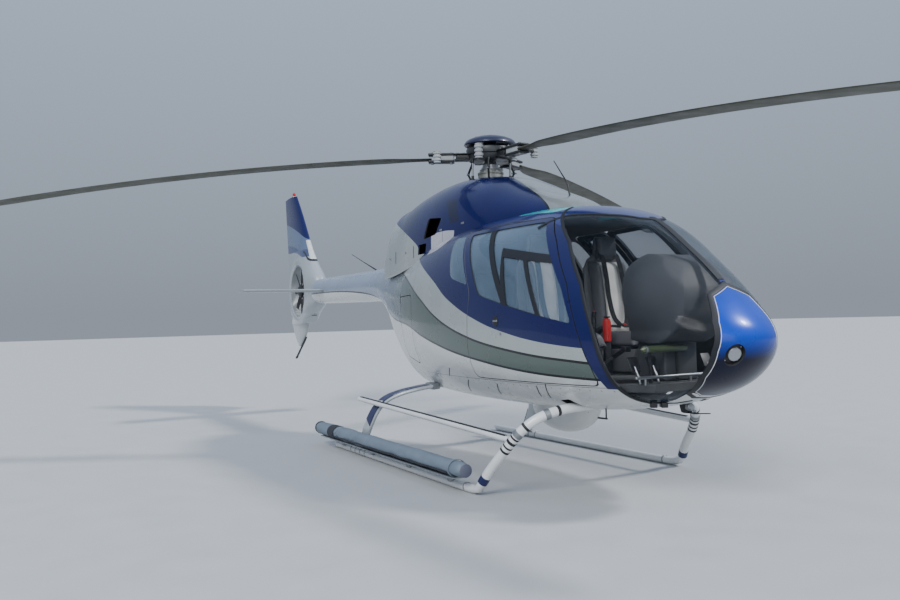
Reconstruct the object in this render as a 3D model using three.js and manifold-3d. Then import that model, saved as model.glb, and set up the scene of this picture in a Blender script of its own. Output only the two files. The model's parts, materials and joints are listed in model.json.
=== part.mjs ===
// A light single-engine helicopter with skids, a three-blade main rotor and a ducted fan in its tail.
// Millimetres, +X towards the nose, +Y to port (the pilot's left), +Z up.
// Every place below is measured from the foot of the rotor mast's line on the ground. The whole
// group is then moved so that the origin is under the middle of the object's outer box.

import * as THREE from 'three';
import { mergeVertices } from 'three/addons/utils/BufferGeometryUtils.js';
import Module from 'manifold-3d';

const wasm = await Module();
wasm.setup();

// Driving dimensions

const SEAT_GAP = 0.3;          // between pieces that touch
const DOOR_GAP = 7;            // around each door
const SKIN = 24;               // cabin wall and door thickness
const AFT_SKIN = 14;           // rear fuselage, boom and cowling wall
const GLASS = 6;               // window thickness
const GLASS_DEPTH = 10;        // the outer frame of a window stands this far proud of its glass

const NOSE_X = 3080;
const BULKHEAD_X = -420;       // behind the cabin
const BOOM_X = -2350;          // where the tail boom starts
const BOOM_END_X = -4860;      // where it meets the fan shroud
const SEAM_Z = 822;            // the level seam between the belly and the cabin sides
const FLOOR_Z = 850;
const FLOOR_FOOT_Z = 792;
const FLOOR_FRONT_X = 2540;
const FLOOR_HALF = 600;
const DOOR_FOOT_Z = 838;
const DOOR_SILL_Z = DOOR_FOOT_Z - DOOR_GAP + SEAT_GAP;   // the sliding door stands on its sill
const ROOF_EDGE_Y = 500;       // the roof panel's half width
const ROOF_FOOT_Z = 1700;      // no part of the roof panel lies below this

const ROTOR_RADIUS = 5000;
const MAST_TILT = THREE.MathUtils.degToRad(2);   // the mast leans forward
const HUB_Z = 2900;
const MAST_HOLE = 236;         // the cowling's opening round the mast and the pitch rods
const BLADE_DROOP = 400;       // at the tip of a blade at rest
const BLADE_ROOT = 560;
const BLADE_CHORD = 260;

const FAN_X = -5620;
const FAN_Z = 1835;
const DUCT_RADIUS = 388;
const FAN_RADIUS = 368;
const FAN_BLADES = 8;
const FAN_BLADE_ROOT = 90;
const FAN_BLADE_PITCH = 0.6;   // radians
const FAN_Y = -50;             // the fan turns to starboard of the still vanes
const VANE_COUNT = 9;
const VANE_Y = 55;
const GEAR_CASE_RADIUS = 92;
const FAN_GAP = 17.7;          // the gear case reaches this far ahead of the still vanes
const DUCT_WALL = 12;
const LINER_HALF = 120;

const SKID_Y = 999;
const SKID_RADIUS = 33;
const SKID_FRONT_X = 1138;
const SKID_REAR_X = -1607;

// Fuselage sections from the nose to the fan. Columns: x, lowest z, highest z, half width,
// z of the widest line, squareness below that line, squareness above it (2 is an ellipse).
const SECTIONS = [
  [3080, 1130, 1130, 0, 1130, 2.0, 2.0],
  [3000, 945, 1300, 260, 1125, 2.0, 2.0],
  [2850, 825, 1465, 405, 1110, 2.1, 2.0],
  [2540, 720, 1745, 570, 1100, 2.3, 2.0],
  [2240, 655, 1970, 670, 1120, 2.5, 2.1],
  [1900, 615, 2105, 725, 1150, 2.6, 2.4],
  [1500, 590, 2172, 755, 1180, 2.7, 2.8],
  [900, 585, 2195, 765, 1220, 2.7, 3.0],
  [300, 585, 2190, 745, 1280, 2.6, 3.0],
  [-300, 590, 2155, 680, 1350, 2.4, 2.8],
  [-900, 620, 2090, 545, 1440, 2.3, 2.5],
  [-1300, 710, 2035, 440, 1510, 2.2, 2.3],
  [-1700, 940, 1992, 335, 1610, 2.1, 2.2],
  [-2050, 1280, 1976, 250, 1705, 2.0, 2.1],
  [-2400, 1530, 1968, 205, 1755, 2.0, 2.0],
  [-3200, 1580, 1970, 188, 1775, 2.0, 2.0],
  [-4100, 1600, 1977, 175, 1790, 2.0, 2.0],
  [-4950, 1622, 1988, 165, 1805, 2.0, 2.0],
];

// Cowling sections. Columns: x, foot z, highest z, half width at the foot, squareness.
const COWL_SECTIONS = [
  [1420, 2080, 2185, 230, 2.2],
  [1300, 2080, 2270, 330, 2.4],
  [900, 2060, 2420, 440, 2.6],
  [500, 2040, 2570, 500, 2.8],
  [100, 2000, 2638, 525, 2.8],
  [-300, 1960, 2650, 530, 2.8],
  [-800, 1900, 2610, 500, 2.8],
  [-1200, 1860, 2550, 450, 2.8],
  [-1560, 1840, 2480, 400, 2.8],
  [-1680, 1840, 2080, 385, 2.8],
];

// Side outlines as corners x, z and corner radius

const PILLAR_FRONT = [
  [2385, 740, 0], [2356, 963, 0], [2272, 1240, 0], [2150, 1525, 0], [1935, 1835, 0], [1600, 2140, 0],
];
const DOOR_RIGHT = [
  [560, 2052, 60], [705, 1800, 0], [852, 1520, 60], [812, 1330, 0], [800, 1100, 0], [812, DOOR_FOOT_Z, 70],
  [2262, DOOR_FOOT_Z, 60], [2250, 960, 0], [2142, 1240, 0],
  [2028, 1531, 0], [1822, 1844, 0], [1640, 2052, 50],
];
const DOOR_LEFT = [
  [1005, 2052, 50], [1395, 1417, 60], [1300, 1100, 0], [1290, DOOR_FOOT_Z, 70],
  [2262, DOOR_FOOT_Z, 60], [2250, 960, 0], [2142, 1240, 0],
  [2028, 1531, 0], [1822, 1844, 0], [1640, 2052, 50],
];
const SLIDING_DOOR = [
  [560, 2052, 60], [705, 1800, 0], [852, 1520, 60], [812, 1330, 0], [800, 1100, 0], [812, DOOR_SILL_Z, 70],
  [1276, DOOR_SILL_Z, 70], [1286, 1100, 0], [1378, 1417, 60], [988, 2052, 50],
];
const WINDOW_RIGHT = [[640, 2022, 40], [985, 1498, 50], [1417, 1396, 0], [1801, 1313, 0], [2105, 1256, 40],
  [1992, 1500, 0], [1850, 1700, 0], [1610, 2022, 50]];
const PANES_RIGHT = [
  [[640, 2022, 40], [985, 1498, 40], [1325, 1418, 30], [945, 2022, 30]],
  [[1010, 2022, 30], [1300, 1562, 10], [1245, 1856, 10], [1870, 1745, 20], [1610, 2022, 50]],
  [[1280, 1784, 20], [1315, 1700, 0], [1390, 1404, 30], [1745, 1328, 20], [1545, 1738, 20]],
  [[1590, 1730, 20], [1790, 1318, 20], [2105, 1256, 40], [1992, 1500, 0], [1893, 1686, 20]],
];
const WINDOW_LEFT = [[1085, 2022, 40], [1445, 1396, 50], [1801, 1313, 0], [2105, 1256, 40],
  [1992, 1500, 0], [1850, 1700, 0], [1610, 2022, 50]];
const PANES_LEFT = [
  [[1085, 2022, 40], [1215, 1800, 20], [1840, 1720, 20], [1610, 2022, 50]],
  [[1245, 1745, 20], [1445, 1396, 50], [1750, 1326, 20], [1570, 1706, 20]],
  [[1612, 1700, 20], [1795, 1316, 20], [2105, 1256, 40], [1992, 1500, 0], [1875, 1668, 20]],
];
const WINDOW_SLIDING = [[640, 2022, 40], [985, 1498, 50], [1325, 1418, 40], [945, 2022, 40]];
const QUARTER_WINDOW = [[345, 2022, 40], [484, 1668, 60], [800, 1590, 40], [535, 2022, 40]];
const BAGGAGE_DOOR = [[-500, 1560, 60], [-500, 900, 60], [-960, 960, 60], [-1010, 1560, 60]];

// The windshield's rear edge, its foot, and then round in front of the nose
const WINDSHIELD = [
  ...PILLAR_FRONT.slice().reverse(), [2400, 712, 0], [2480, 708, 0], [2600, 735, 0], [2660, 690, 0],
  [3200, 690, 0], [3200, 2300, 0], [1600, 2300, 0],
];
// The nose cap seen from the front: half width and z, from the top down
const CAP_EDGE = [
  [0, 1475], [160, 1410], [232, 1245], [262, 1065], [255, 900], [205, 800], [120, 770], [0, 760],
];

const group = new THREE.Group();
const frame = new THREE.Group();
group.add(frame);

const COLOURS = {
  blue: [0x10206a, 0.25, 0.3],
  silver: [0xaeb4ba, 0.3, 0.5],
  pale: [0xd5d7d6, 0.4, 0.2],
  navy: [0x0b1030, 0.3, 0.3],
  glass: [0x9fb4bd, 0.05, 0.0],
  tinted: [0x2f8f9a, 0.1, 0.0],
  dark: [0x1b1c1e, 0.6, 0.1],
  blade: [0x2d3029, 0.55, 0.1],
  steel: [0x8b8f93, 0.35, 0.9],
  white: [0xe8e8e4, 0.4, 0.1],
  vinyl: [0x6f7a84, 0.65, 0.0],
  leather: [0x4a4c50, 0.7, 0.0],
  trim: [0x55585c, 0.8, 0.0],
  beacon: [0xa01010, 0.2, 0.0],
};

function paint(name) {
  const [color, roughness, metalness] = COLOURS[name];
  return new THREE.MeshStandardMaterial({ color, roughness, metalness });
}

// Solids: from a closed geometry and back

function signedVolume(positions, index) {
  let sum = 0;
  for (let i = 0; i < index.length; i += 3) {
    const [a, b, c] = [index[i] * 3, index[i + 1] * 3, index[i + 2] * 3];
    sum += positions[a] * (positions[b + 1] * positions[c + 2] - positions[b + 2] * positions[c + 1])
      + positions[a + 1] * (positions[b + 2] * positions[c] - positions[b] * positions[c + 2])
      + positions[a + 2] * (positions[b] * positions[c + 1] - positions[b + 1] * positions[c]);
  }
  return sum;
}

function solid(geometry) {
  let source = geometry.clone();
  source.deleteAttribute('normal');
  source.deleteAttribute('uv');
  source = mergeVertices(source, 1e-4);
  const positions = source.attributes.position.array;
  const index = Array.from(source.index.array);
  if (signedVolume(positions, index) < 0) index.reverse();
  return new wasm.Manifold(new wasm.Mesh({
    numProp: 3,
    vertProperties: new Float32Array(positions),
    triVerts: new Uint32Array(index),
  }));
}

function geometryOf(body) {
  const mesh = body.getMesh();
  const geometry = new THREE.BufferGeometry();
  geometry.setAttribute('position', new THREE.BufferAttribute(new Float32Array(mesh.vertProperties), 3));
  geometry.setIndex(new THREE.BufferAttribute(new Uint32Array(mesh.triVerts), 1));
  return geometry;
}

const join = (first, ...rest) => rest.reduce((sum, next) => sum.add(next), first);
const cut = (first, ...rest) => rest.reduce((sum, next) => sum.subtract(next), first);
const common = (first, ...rest) => rest.reduce((sum, next) => sum.intersect(next), first);

function addPart(name, body, colour, parent = frame) {
  const mesh = new THREE.Mesh(geometryOf(body), paint(colour));
  mesh.name = name;
  parent.add(mesh);
  return mesh;
}

function block(x0, x1, y0, y1, z0, z1) {
  const box = new THREE.BoxGeometry(x1 - x0, y1 - y0, z1 - z0);
  box.translate((x0 + x1) / 2, (y0 + y1) / 2, (z0 + z1) / 2);
  return solid(box);
}

function placed(geometry, rotation, position) {
  geometry.applyMatrix4(new THREE.Matrix4().makeRotationFromEuler(new THREE.Euler(...rotation)));
  geometry.translate(...position);
  return solid(geometry);
}

// A closed outline with its corners rounded. Corners are [across, up, radius].
function outlineShape(corners) {
  const shape = new THREE.Shape();
  const count = corners.length;
  corners.forEach(([x, y, radius = 0], i) => {
    const before = new THREE.Vector2(...corners[(i + count - 1) % count].slice(0, 2));
    const after = new THREE.Vector2(...corners[(i + 1) % count].slice(0, 2));
    const corner = new THREE.Vector2(x, y);
    const enter = corner.clone().add(before.sub(corner).setLength(radius));
    const leave = corner.clone().add(after.sub(corner).setLength(radius));
    if (i === 0) shape.moveTo(enter.x, enter.y);
    else shape.lineTo(enter.x, enter.y);
    if (radius > 0) shape.quadraticCurveTo(x, y, leave.x, leave.y);
  });
  shape.closePath();
  return shape;
}

// The same corners moved outwards by a distance, or inwards where it is negative
function grown(corners, distance) {
  const count = corners.length;
  const area = corners.reduce((sum, [x, y], i) => {
    const [nx, ny] = corners[(i + 1) % count];
    return sum + x * ny - nx * y;
  }, 0);
  const turn = Math.sign(area) * distance;
  const edges = corners.map(([x, y], i) => {
    const [nx, ny] = corners[(i + 1) % count];
    const length = Math.hypot(nx - x, ny - y);
    return { nx: (ny - y) / length, ny: (x - nx) / length, x, y };
  });
  return corners.map(([x, y, radius = 0], i) => {
    const a = edges[(i + count - 1) % count];
    const b = edges[i];
    const scale = turn / (1 + a.nx * b.nx + a.ny * b.ny);
    return [x + (a.nx + b.nx) * scale, y + (a.ny + b.ny) * scale, radius];
  });
}

// A prism along Y from an outline in x and z
function sidePrism(corners, y0, y1, curveSegments = 3) {
  const geometry = new THREE.ExtrudeGeometry(outlineShape(corners), {
    depth: y1 - y0, bevelEnabled: false, curveSegments,
  });
  geometry.rotateX(Math.PI / 2);
  geometry.translate(0, y1, 0);
  return solid(geometry);
}

// A prism along X from an outline in y and z
function frontPrism(corners, x0, x1, curveSegments = 3) {
  const geometry = new THREE.ExtrudeGeometry(outlineShape(corners), {
    depth: x1 - x0, bevelEnabled: false, curveSegments,
  });
  geometry.rotateX(Math.PI / 2);
  geometry.rotateZ(Math.PI / 2);
  geometry.translate(x0, 0, 0);
  return solid(geometry);
}

// A prism along Z from an outline in x and y
function topPrism(corners, z0, z1, curveSegments = 3) {
  const geometry = new THREE.ExtrudeGeometry(outlineShape(corners), {
    depth: z1 - z0, bevelEnabled: false, curveSegments,
  });
  geometry.translate(0, 0, z0);
  return solid(geometry);
}

// Lofts: rings of points with the same count, closed at both ends
function loft(rings) {
  const count = rings[0].length;
  const points = rings.flat();
  const index = [];
  for (let i = 0; i + 1 < rings.length; i += 1) {
    for (let j = 0; j < count; j += 1) {
      const [a, b] = [i * count + j, i * count + (j + 1) % count];
      index.push(a, b, a + count, b, b + count, a + count);
    }
  }
  [0, rings.length - 1].forEach((end, side) => {
    const centre = points.length;
    points.push(rings[end].reduce((sum, p) => sum.add(p), new THREE.Vector3()).divideScalar(count));
    for (let j = 0; j < count; j += 1) {
      const [a, b] = [end * count + j, end * count + (j + 1) % count];
      if (side === 0) index.push(centre, b, a);
      else index.push(centre, a, b);
    }
  });
  const geometry = new THREE.BufferGeometry().setFromPoints(points);
  geometry.setIndex(index);
  return solid(geometry);
}

// The fuselage's section values at a run, which is the square root of the distance behind the nose
const RUNS = SECTIONS.map(([x]) => Math.sqrt(NOSE_X - x));
const MIRRORED = [2 * SECTIONS[0][0] - SECTIONS[1][0], SECTIONS[1][2], SECTIONS[1][1], -SECTIONS[1][3],
  ...SECTIONS[1].slice(4)];

function sectionAt(run) {
  const runs = [-RUNS[1], ...RUNS];
  const rows = [MIRRORED, ...SECTIONS];
  let k = 1;
  while (k < runs.length - 2 && run > runs[k + 1]) k += 1;
  const slope = (i, column) => {
    const [a, b] = [Math.max(i - 1, 0), Math.min(i + 1, runs.length - 1)];
    return (rows[b][column] - rows[a][column]) / (runs[b] - runs[a]);
  };
  const step = runs[k + 1] - runs[k];
  const u = (run - runs[k]) / step;
  const values = [1, 2, 3, 4, 5, 6].map((column) => (2 * u ** 3 - 3 * u ** 2 + 1) * rows[k][column]
    + (u ** 3 - 2 * u ** 2 + u) * step * slope(k, column)
    + (3 * u ** 2 - 2 * u ** 3) * rows[k + 1][column]
    + (u ** 3 - u ** 2) * step * slope(k + 1, column));
  return [NOSE_X - run * run, ...values];
}

function hullPoint(run, angle) {
  const [x, low, high, half, widest, below, above] = sectionAt(run);
  const [c, s] = [Math.cos(angle), Math.sin(angle)];
  const power = 2 / (s > 0 ? above : below);
  const reach = s > 0 ? high - widest : widest - low;
  return new THREE.Vector3(
    x,
    half * Math.sign(c) * Math.abs(c) ** power,
    widest + reach * Math.sign(s) * Math.abs(s) ** power,
  );
}

// A point of the fuselage's surface, moved inwards by a depth along the surface's normal
function hullInner(run, angle, depth) {
  const step = 0.02;
  const along = hullPoint(run + step, angle).sub(hullPoint(run - step, angle));
  const around = hullPoint(run, angle + step).sub(hullPoint(run, angle - step));
  const normal = around.cross(along).normalize();
  return hullPoint(run, angle).addScaledVector(normal, depth);
}

const HULL_SIDES = 26;
const HULL_RUNS = [2.2, 5.2, 8.2];
for (let run = 12; run < 66; run += 4.8) HULL_RUNS.push(run);
for (const x of [-1400, -1700, -1950, -2200, -2400, -3200, -4100, -4940]) {
  HULL_RUNS.push(Math.sqrt(NOSE_X - x));
}

function hull(depth, runs = HULL_RUNS) {
  return loft(runs.map((run) => Array.from({ length: HULL_SIDES }, (_, j) => {
    const angle = (2 * Math.PI * (j + 0.5)) / HULL_SIDES;
    return hullInner(run, angle, depth);
  })));
}

const outerHull = hull(0);
const glassHull = hull(GLASS);
const framedGlassTop = hull(GLASS_DEPTH + SEAT_GAP);
const framedGlassFoot = hull(GLASS_DEPTH + GLASS);
const frameHull = hull(GLASS_DEPTH);
const cabinHull = hull(SKIN);
const aftHull = hull(AFT_SKIN);
const liningHull = hull(SKIN + SEAT_GAP);

const cabinShell = cut(outerHull, cabinHull);
const aftShell = cut(outerHull, aftHull);
const glassShell = cut(outerHull, glassHull);
const framedGlassShell = cut(framedGlassTop, framedGlassFoot);

// Limits that lie outside the fuselage on all sides
const WIDE = 1200;
const [CLEAR_X, AHEAD_X] = [-800, 3300];
const [BELOW_Z, ABOVE_Z] = [300, 2400];
const cabinZone = (y0, y1, z0, z1) => block(CLEAR_X, AHEAD_X, y0, y1, z0, z1);

// One side of the fuselage: -1 is starboard, 1 is port
function sideBand(side, from = 30) {
  return side < 0 ? [-WIDE, -from] : [from, WIDE];
}

// A wall cut to an outline, with a recessed sheet of glass behind its panes
function windowedPanel(name, glassName, side, outline, windowOutline, panes, colour) {
  const band = sideBand(side);
  const wall = common(cabinShell, sidePrism(outline, ...band));
  const recess = common(frameHull, sidePrism(windowOutline, ...band));
  addPart(name, cut(wall, recess, ...panes.map((pane) => sidePrism(pane, ...band))), colour);
  const sheet = common(framedGlassShell, sidePrism(grown(windowOutline, -SEAT_GAP), ...band));
  addPart(glassName, sheet, 'glass');
}

function addDoors() {
  windowedPanel('door_right', 'door_right_glass', -1, DOOR_RIGHT, WINDOW_RIGHT, PANES_RIGHT, 'blue');
  windowedPanel('door_left', 'door_left_glass', 1, DOOR_LEFT, WINDOW_LEFT, PANES_LEFT, 'blue');
  windowedPanel('sliding_door', 'sliding_door_glass', 1, SLIDING_DOOR, WINDOW_SLIDING,
    [grown(WINDOW_SLIDING, -25)], 'blue');
}

const capPrism = (extra) => {
  const right = CAP_EDGE.map(([y, z]) => [y, z, 0]);
  const left = CAP_EDGE.slice(1, -1).reverse().map(([y, z]) => [-y, z, 0]);
  return frontPrism(grown([...right, ...left], extra), 2400, 3200);
};
// The oval lamp opening in the nose cap, seen from the front: middle y and z, half width, half height
const LAMP_HOLE = { y: -156, z: 1042, half: 62, high: 68 };
const LAMP_RADIUS = 44;
const LAMP_PLATE = 15;         // the lamp's plate reaches this far round behind the opening

function lampPrism(extra) {
  const { y, z, half, high } = LAMP_HOLE;
  const oval = Array.from({ length: 24 }, (_, j) => {
    const angle = (2 * Math.PI * j) / 24;
    return [y + (half + extra) * Math.cos(angle), z + (high + extra) * Math.sin(angle), 0];
  });
  return frontPrism(oval, 2800, 3200);
}

const POST_HALF = 24;
const postBlock = (extra) => block(1900, 3200, -POST_HALF - extra, POST_HALF + extra, 1200, 2300);
// The windshield's top edge on the roof, bowed forward at the middle
const ROOF_FRONT = [[1560, -560], [1740, -400], [2020, -250], [2180, -120], [2232, 0], [2180, 120], [2020, 250],
  [1740, 400], [1560, 560]];
const frontOfRoof = (extra) => topPrism([
  ...ROOF_FRONT.map(([x, y]) => [x + extra, y, 0]), [1560, 1000, 0], [AHEAD_X, 1000, 0], [AHEAD_X, -1000, 0],
  [1560, -1000, 0],
], BELOW_Z, ABOVE_Z);
const windshieldPrism = (extra) => common(
  sidePrism(grown(WINDSHIELD, extra), -WIDE, WIDE),
  frontOfRoof(-extra),
);

function addNose() {
  addPart('nose_cap', cut(common(cabinShell, capPrism(0)), lampPrism(0)), 'blue');
  const plate = common(cut(liningHull, hull(SKIN + 16)), lampPrism(LAMP_PLATE));
  const can = placed(new THREE.CylinderGeometry(LAMP_RADIUS, LAMP_RADIUS, 300, 20), [0, 0, Math.PI / 2],
    [3000, LAMP_HOLE.y, LAMP_HOLE.z]);
  addPart('nose_lamp', join(plate, common(can, cut(hull(8), hull(SKIN + 8)))), 'white');
  const windshield = cut(
    common(glassShell, windshieldPrism(0)),
    capPrism(2 * SEAT_GAP),
    postBlock(SEAT_GAP),
  );
  addPart('windshield_right', common(windshield, cabinZone(-WIDE, 0, BELOW_Z, ABOVE_Z)), 'glass');
  addPart('windshield_left', common(windshield, cabinZone(0, WIDE, BELOW_Z, ABOVE_Z)), 'glass');
  const post = cut(common(cabinShell, windshieldPrism(0), postBlock(0)), capPrism(SEAT_GAP));
  addPart('windshield_post', post, 'blue');
}

// A round bar along a path, made longer at both ends by an extra length. Its sections stand across
// the path, turned to face the given direction.
function bar(points, radius, facing, sides = 12, longer = 0) {
  const path = points.map((p) => new THREE.Vector3(...p));
  const last = path.length - 1;
  const stretch = [[0, 1], [last, last - 1]].map(([end, next]) => (
    path[end].clone().sub(path[next]).setLength(longer)));
  path[0].add(stretch[0]);
  path[last].add(stretch[1]);
  return loft(path.map((here, i) => {
    const into = here.clone().sub(path[Math.max(i - 1, 0)]).normalize();
    const out = path[Math.min(i + 1, path.length - 1)].clone().sub(here).normalize();
    const along = into.add(out).normalize();
    const side = new THREE.Vector3(...facing).cross(along).normalize();
    const up = along.clone().cross(side);
    return Array.from({ length: sides }, (_, j) => {
      const angle = (2 * Math.PI * (j + 0.5)) / sides;
      return here.clone().addScaledVector(side, radius * Math.cos(angle))
        .addScaledVector(up, radius * Math.sin(angle));
    });
  }));
}

// The starboard half of the front cross tube, from the skid to the middle
const FRONT_TUBE_RADIUS = 36;
const FRONT_TUBE = [
  [1372, -995, 97], [1437, -965, 195], [1510, -940, 280], [1574, -918, 352], [1636, -886, 432],
  [1690, -842, 503], [1732, -785, 560], [1762, -715, 600], [1784, -635, 626], [1796, -540, 642],
  [1800, -400, 652], [1800, -200, 656], [1800, 0, 656],
];

function acrossMiddle(half) {
  return [...half, ...half.slice(0, -1).reverse().map(([x, y, z]) => [x, -y, z])];
}

function frontTube(extra) {
  return bar(acrossMiddle(FRONT_TUBE), FRONT_TUBE_RADIUS + extra, [1, 0, 0], 12, extra);
}

// The rear legs and what joins them are one flat blade, raked aft at the skid
const REAR_BLADE_CHORD = 170;
const REAR_BLADE_THICKNESS = 44;
const REAR_BLADE = [[-1000, -986, 52], [-940, -980, 150], [-835, -965, 310], [-748, -925, 455], [-690, -860, 545],
  [-620, -760, 605], [-560, -620, 645], [-540, -400, 672], [-540, 0, 680]];

function rearBlade(extra) {
  const path = acrossMiddle(REAR_BLADE);
  const rings = path.map(([x, y, z], i) => {
    const [, y0, z0] = path[Math.max(i - 1, 0)];
    const [, y1, z1] = path[Math.min(i + 1, path.length - 1)];
    const length = Math.hypot(y1 - y0, z1 - z0);
    const [ny, nz] = [-(z1 - z0) / length, (y1 - y0) / length];
    return Array.from({ length: 12 }, (_, j) => {
      const angle = (2 * Math.PI * (j + 0.5)) / 12;
      const across = (REAR_BLADE_THICKNESS / 2 + extra) * Math.sin(angle);
      return new THREE.Vector3(
        x + (REAR_BLADE_CHORD / 2 + extra) * Math.cos(angle),
        y + ny * across,
        z + nz * across,
      );
    });
  });
  return loft(rings);
}

const CABIN_BACK = block(BULKHEAD_X, AHEAD_X, -WIDE, WIDE, BELOW_Z, ABOVE_Z);

function addCabin() {
  const body = cut(
    common(cabinShell, CABIN_BACK),
    windshieldPrism(2 * SEAT_GAP),
    capPrism(2 * SEAT_GAP),
  );
  const tub = cut(common(body, cabinZone(-WIDE, WIDE, BELOW_Z, SEAM_Z)), frontTube(1));
  addPart('belly_tub', tub, 'pale');
  const openings = [-1, 1].flatMap((side) => [
    sidePrism(grown(DOOR_RIGHT, DOOR_GAP), ...sideBand(side)),
    sidePrism(QUARTER_WINDOW, ...sideBand(side)),
  ]);
  const upper = cut(body, cabinZone(-WIDE, WIDE, BELOW_Z, SEAM_Z + SEAT_GAP), ...openings);
  const roofWindows = [-1, 1].map((side) => ROOF_WINDOW(side));
  const roof = common(upper, cabinZone(-ROOF_EDGE_Y, ROOF_EDGE_Y, ROOF_FOOT_Z, ABOVE_Z));
  addPart('roof_panel', cut(roof, ...roofWindows.map((w) => topPrism(w, ROOF_FOOT_Z, ABOVE_Z))), 'blue');
  roofWindows.forEach((w, i) => {
    const pane = common(glassShell, topPrism(grown(w, -SEAT_GAP), ROOF_FOOT_Z, ABOVE_Z));
    addPart(i === 0 ? 'roof_window_right' : 'roof_window_left', pane, 'tinted');
  });
  const roofGap = cabinZone(-ROOF_EDGE_Y - SEAT_GAP, ROOF_EDGE_Y + SEAT_GAP, ROOF_FOOT_Z, ABOVE_Z);
  const sides = cut(upper, roofGap);
  [[-1, 'right'], [1, 'left']].forEach(([side, name]) => {
    const band = sideBand(side);
    addPart(`side_frame_${name}`, common(sides, cabinZone(...band, BELOW_Z, ABOVE_Z)), 'silver');
    const pane = common(glassShell, sidePrism(grown(QUARTER_WINDOW, -SEAT_GAP), ...band));
    addPart(`quarter_window_${name}`, pane, 'glass');
  });
}

const ROOF_WINDOW = (side) => [[1100, 170 * side, 30], [1650, 170 * side, 60], [1560, 400 * side, 60],
  [1100, 430 * side, 30]];

function addCabinInside() {
  const floorBlock = block(
    BULKHEAD_X + SKIN + SEAT_GAP, FLOOR_FRONT_X, -FLOOR_HALF, FLOOR_HALF, FLOOR_FOOT_Z, FLOOR_Z);
  const floor = common(liningHull, floorBlock);
  addPart('cabin_floor', floor, 'trim');
  const bulkhead = common(liningHull, block(BULKHEAD_X, BULKHEAD_X + SKIN, -WIDE, WIDE, BELOW_Z, ABOVE_Z));
  addPart('rear_bulkhead', bulkhead, 'trim');
}

const COWL_SIDES = 20;
function cowl(depth) {
  const rings = COWL_SECTIONS.map(([x, foot, top, half, square], i) => {
    const shift = i === 0 ? -2 * depth : (i === COWL_SECTIONS.length - 1 ? depth : 0);
    return Array.from({ length: COWL_SIDES }, (_, j) => {
      const angle = (2 * Math.PI * (j + 0.5)) / COWL_SIDES;
      const [c, s] = [Math.cos(angle), Math.sin(angle)];
      const power = s > 0 ? 2 / square : 0.2;
      const reach = s > 0 ? top - foot - depth : 60 - depth;
      return new THREE.Vector3(
        x + shift,
        (half - depth) * Math.sign(c) * Math.abs(c) ** power,
        foot + reach * Math.sign(s) * Math.abs(s) ** power,
      );
    });
  });
  return loft(rings);
}

// The baggage door's hinge: at each height one knuckle on the fuselage stands on one on the door
const HATCH_HINGE_X = -496.5;
const HATCH_HINGE_Y = -662;
const HATCH_KNUCKLES = [1040, 1420];
const KNUCKLE_RADIUS = 8;
const KNUCKLE_HEIGHT = 40;

function hatchKnuckle(z) {
  const knuckle = (low, x0, x1) => {
    const high = low + KNUCKLE_HEIGHT;
    const pin = placed(new THREE.CylinderGeometry(KNUCKLE_RADIUS, KNUCKLE_RADIUS, KNUCKLE_HEIGHT, 12),
      [Math.PI / 2, 0, 0], [HATCH_HINGE_X, HATCH_HINGE_Y, (low + high) / 2]);
    const strap = block(x0, x1, HATCH_HINGE_Y - 3, HATCH_HINGE_Y + 3, low, high);
    const root = block(x0 < HATCH_HINGE_X ? x0 : x1 - 12, x0 < HATCH_HINGE_X ? x0 + 12 : x1,
      HATCH_HINGE_Y - 3, -560, low, high);
    return join(pin, cut(join(strap, root), aftHull));
  };
  return [
    knuckle(z + KNUCKLE_HEIGHT + SEAT_GAP, HATCH_HINGE_X, HATCH_HINGE_X + 50),
    knuckle(z, HATCH_HINGE_X - 50, HATCH_HINGE_X),
  ];
}

// Openings in the cowling's sides, as corners x, z and corner radius
const INTAKE = [[-425, 2095, 20], [-335, 2290, 35], [-55, 2262, 35], [-155, 2117, 20]];
const LOW_INTAKE = [[-545, 2055, 12], [-565, 1958, 12], [-380, 1958, 12], [-360, 2055, 12]];
const EXHAUST = { hole: 150, outside: 136, inside: 124, from: -1850, to: -1351, z: 2260 };
const ENGINE_BLOCK = [-420, -260, 260, 1900, 2420];     // front x, both sides, foot and top
// The gearbox's two drums. Columns: upper radius, lower radius, height, z of the middle.
const GEARBOX = [[190, 240, 560, 2310], [105, 130, 200, 2630.8]];

// A turned ring with a square section, round the Y axis
function turnedRing(inside, outside, low, high, sides) {
  const profile = [[inside, low], [outside, low], [outside, high], [inside, high], [inside, low]];
  return new THREE.LatheGeometry(profile.map(([r, h]) => new THREE.Vector2(r, h)), sides);
}

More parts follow.
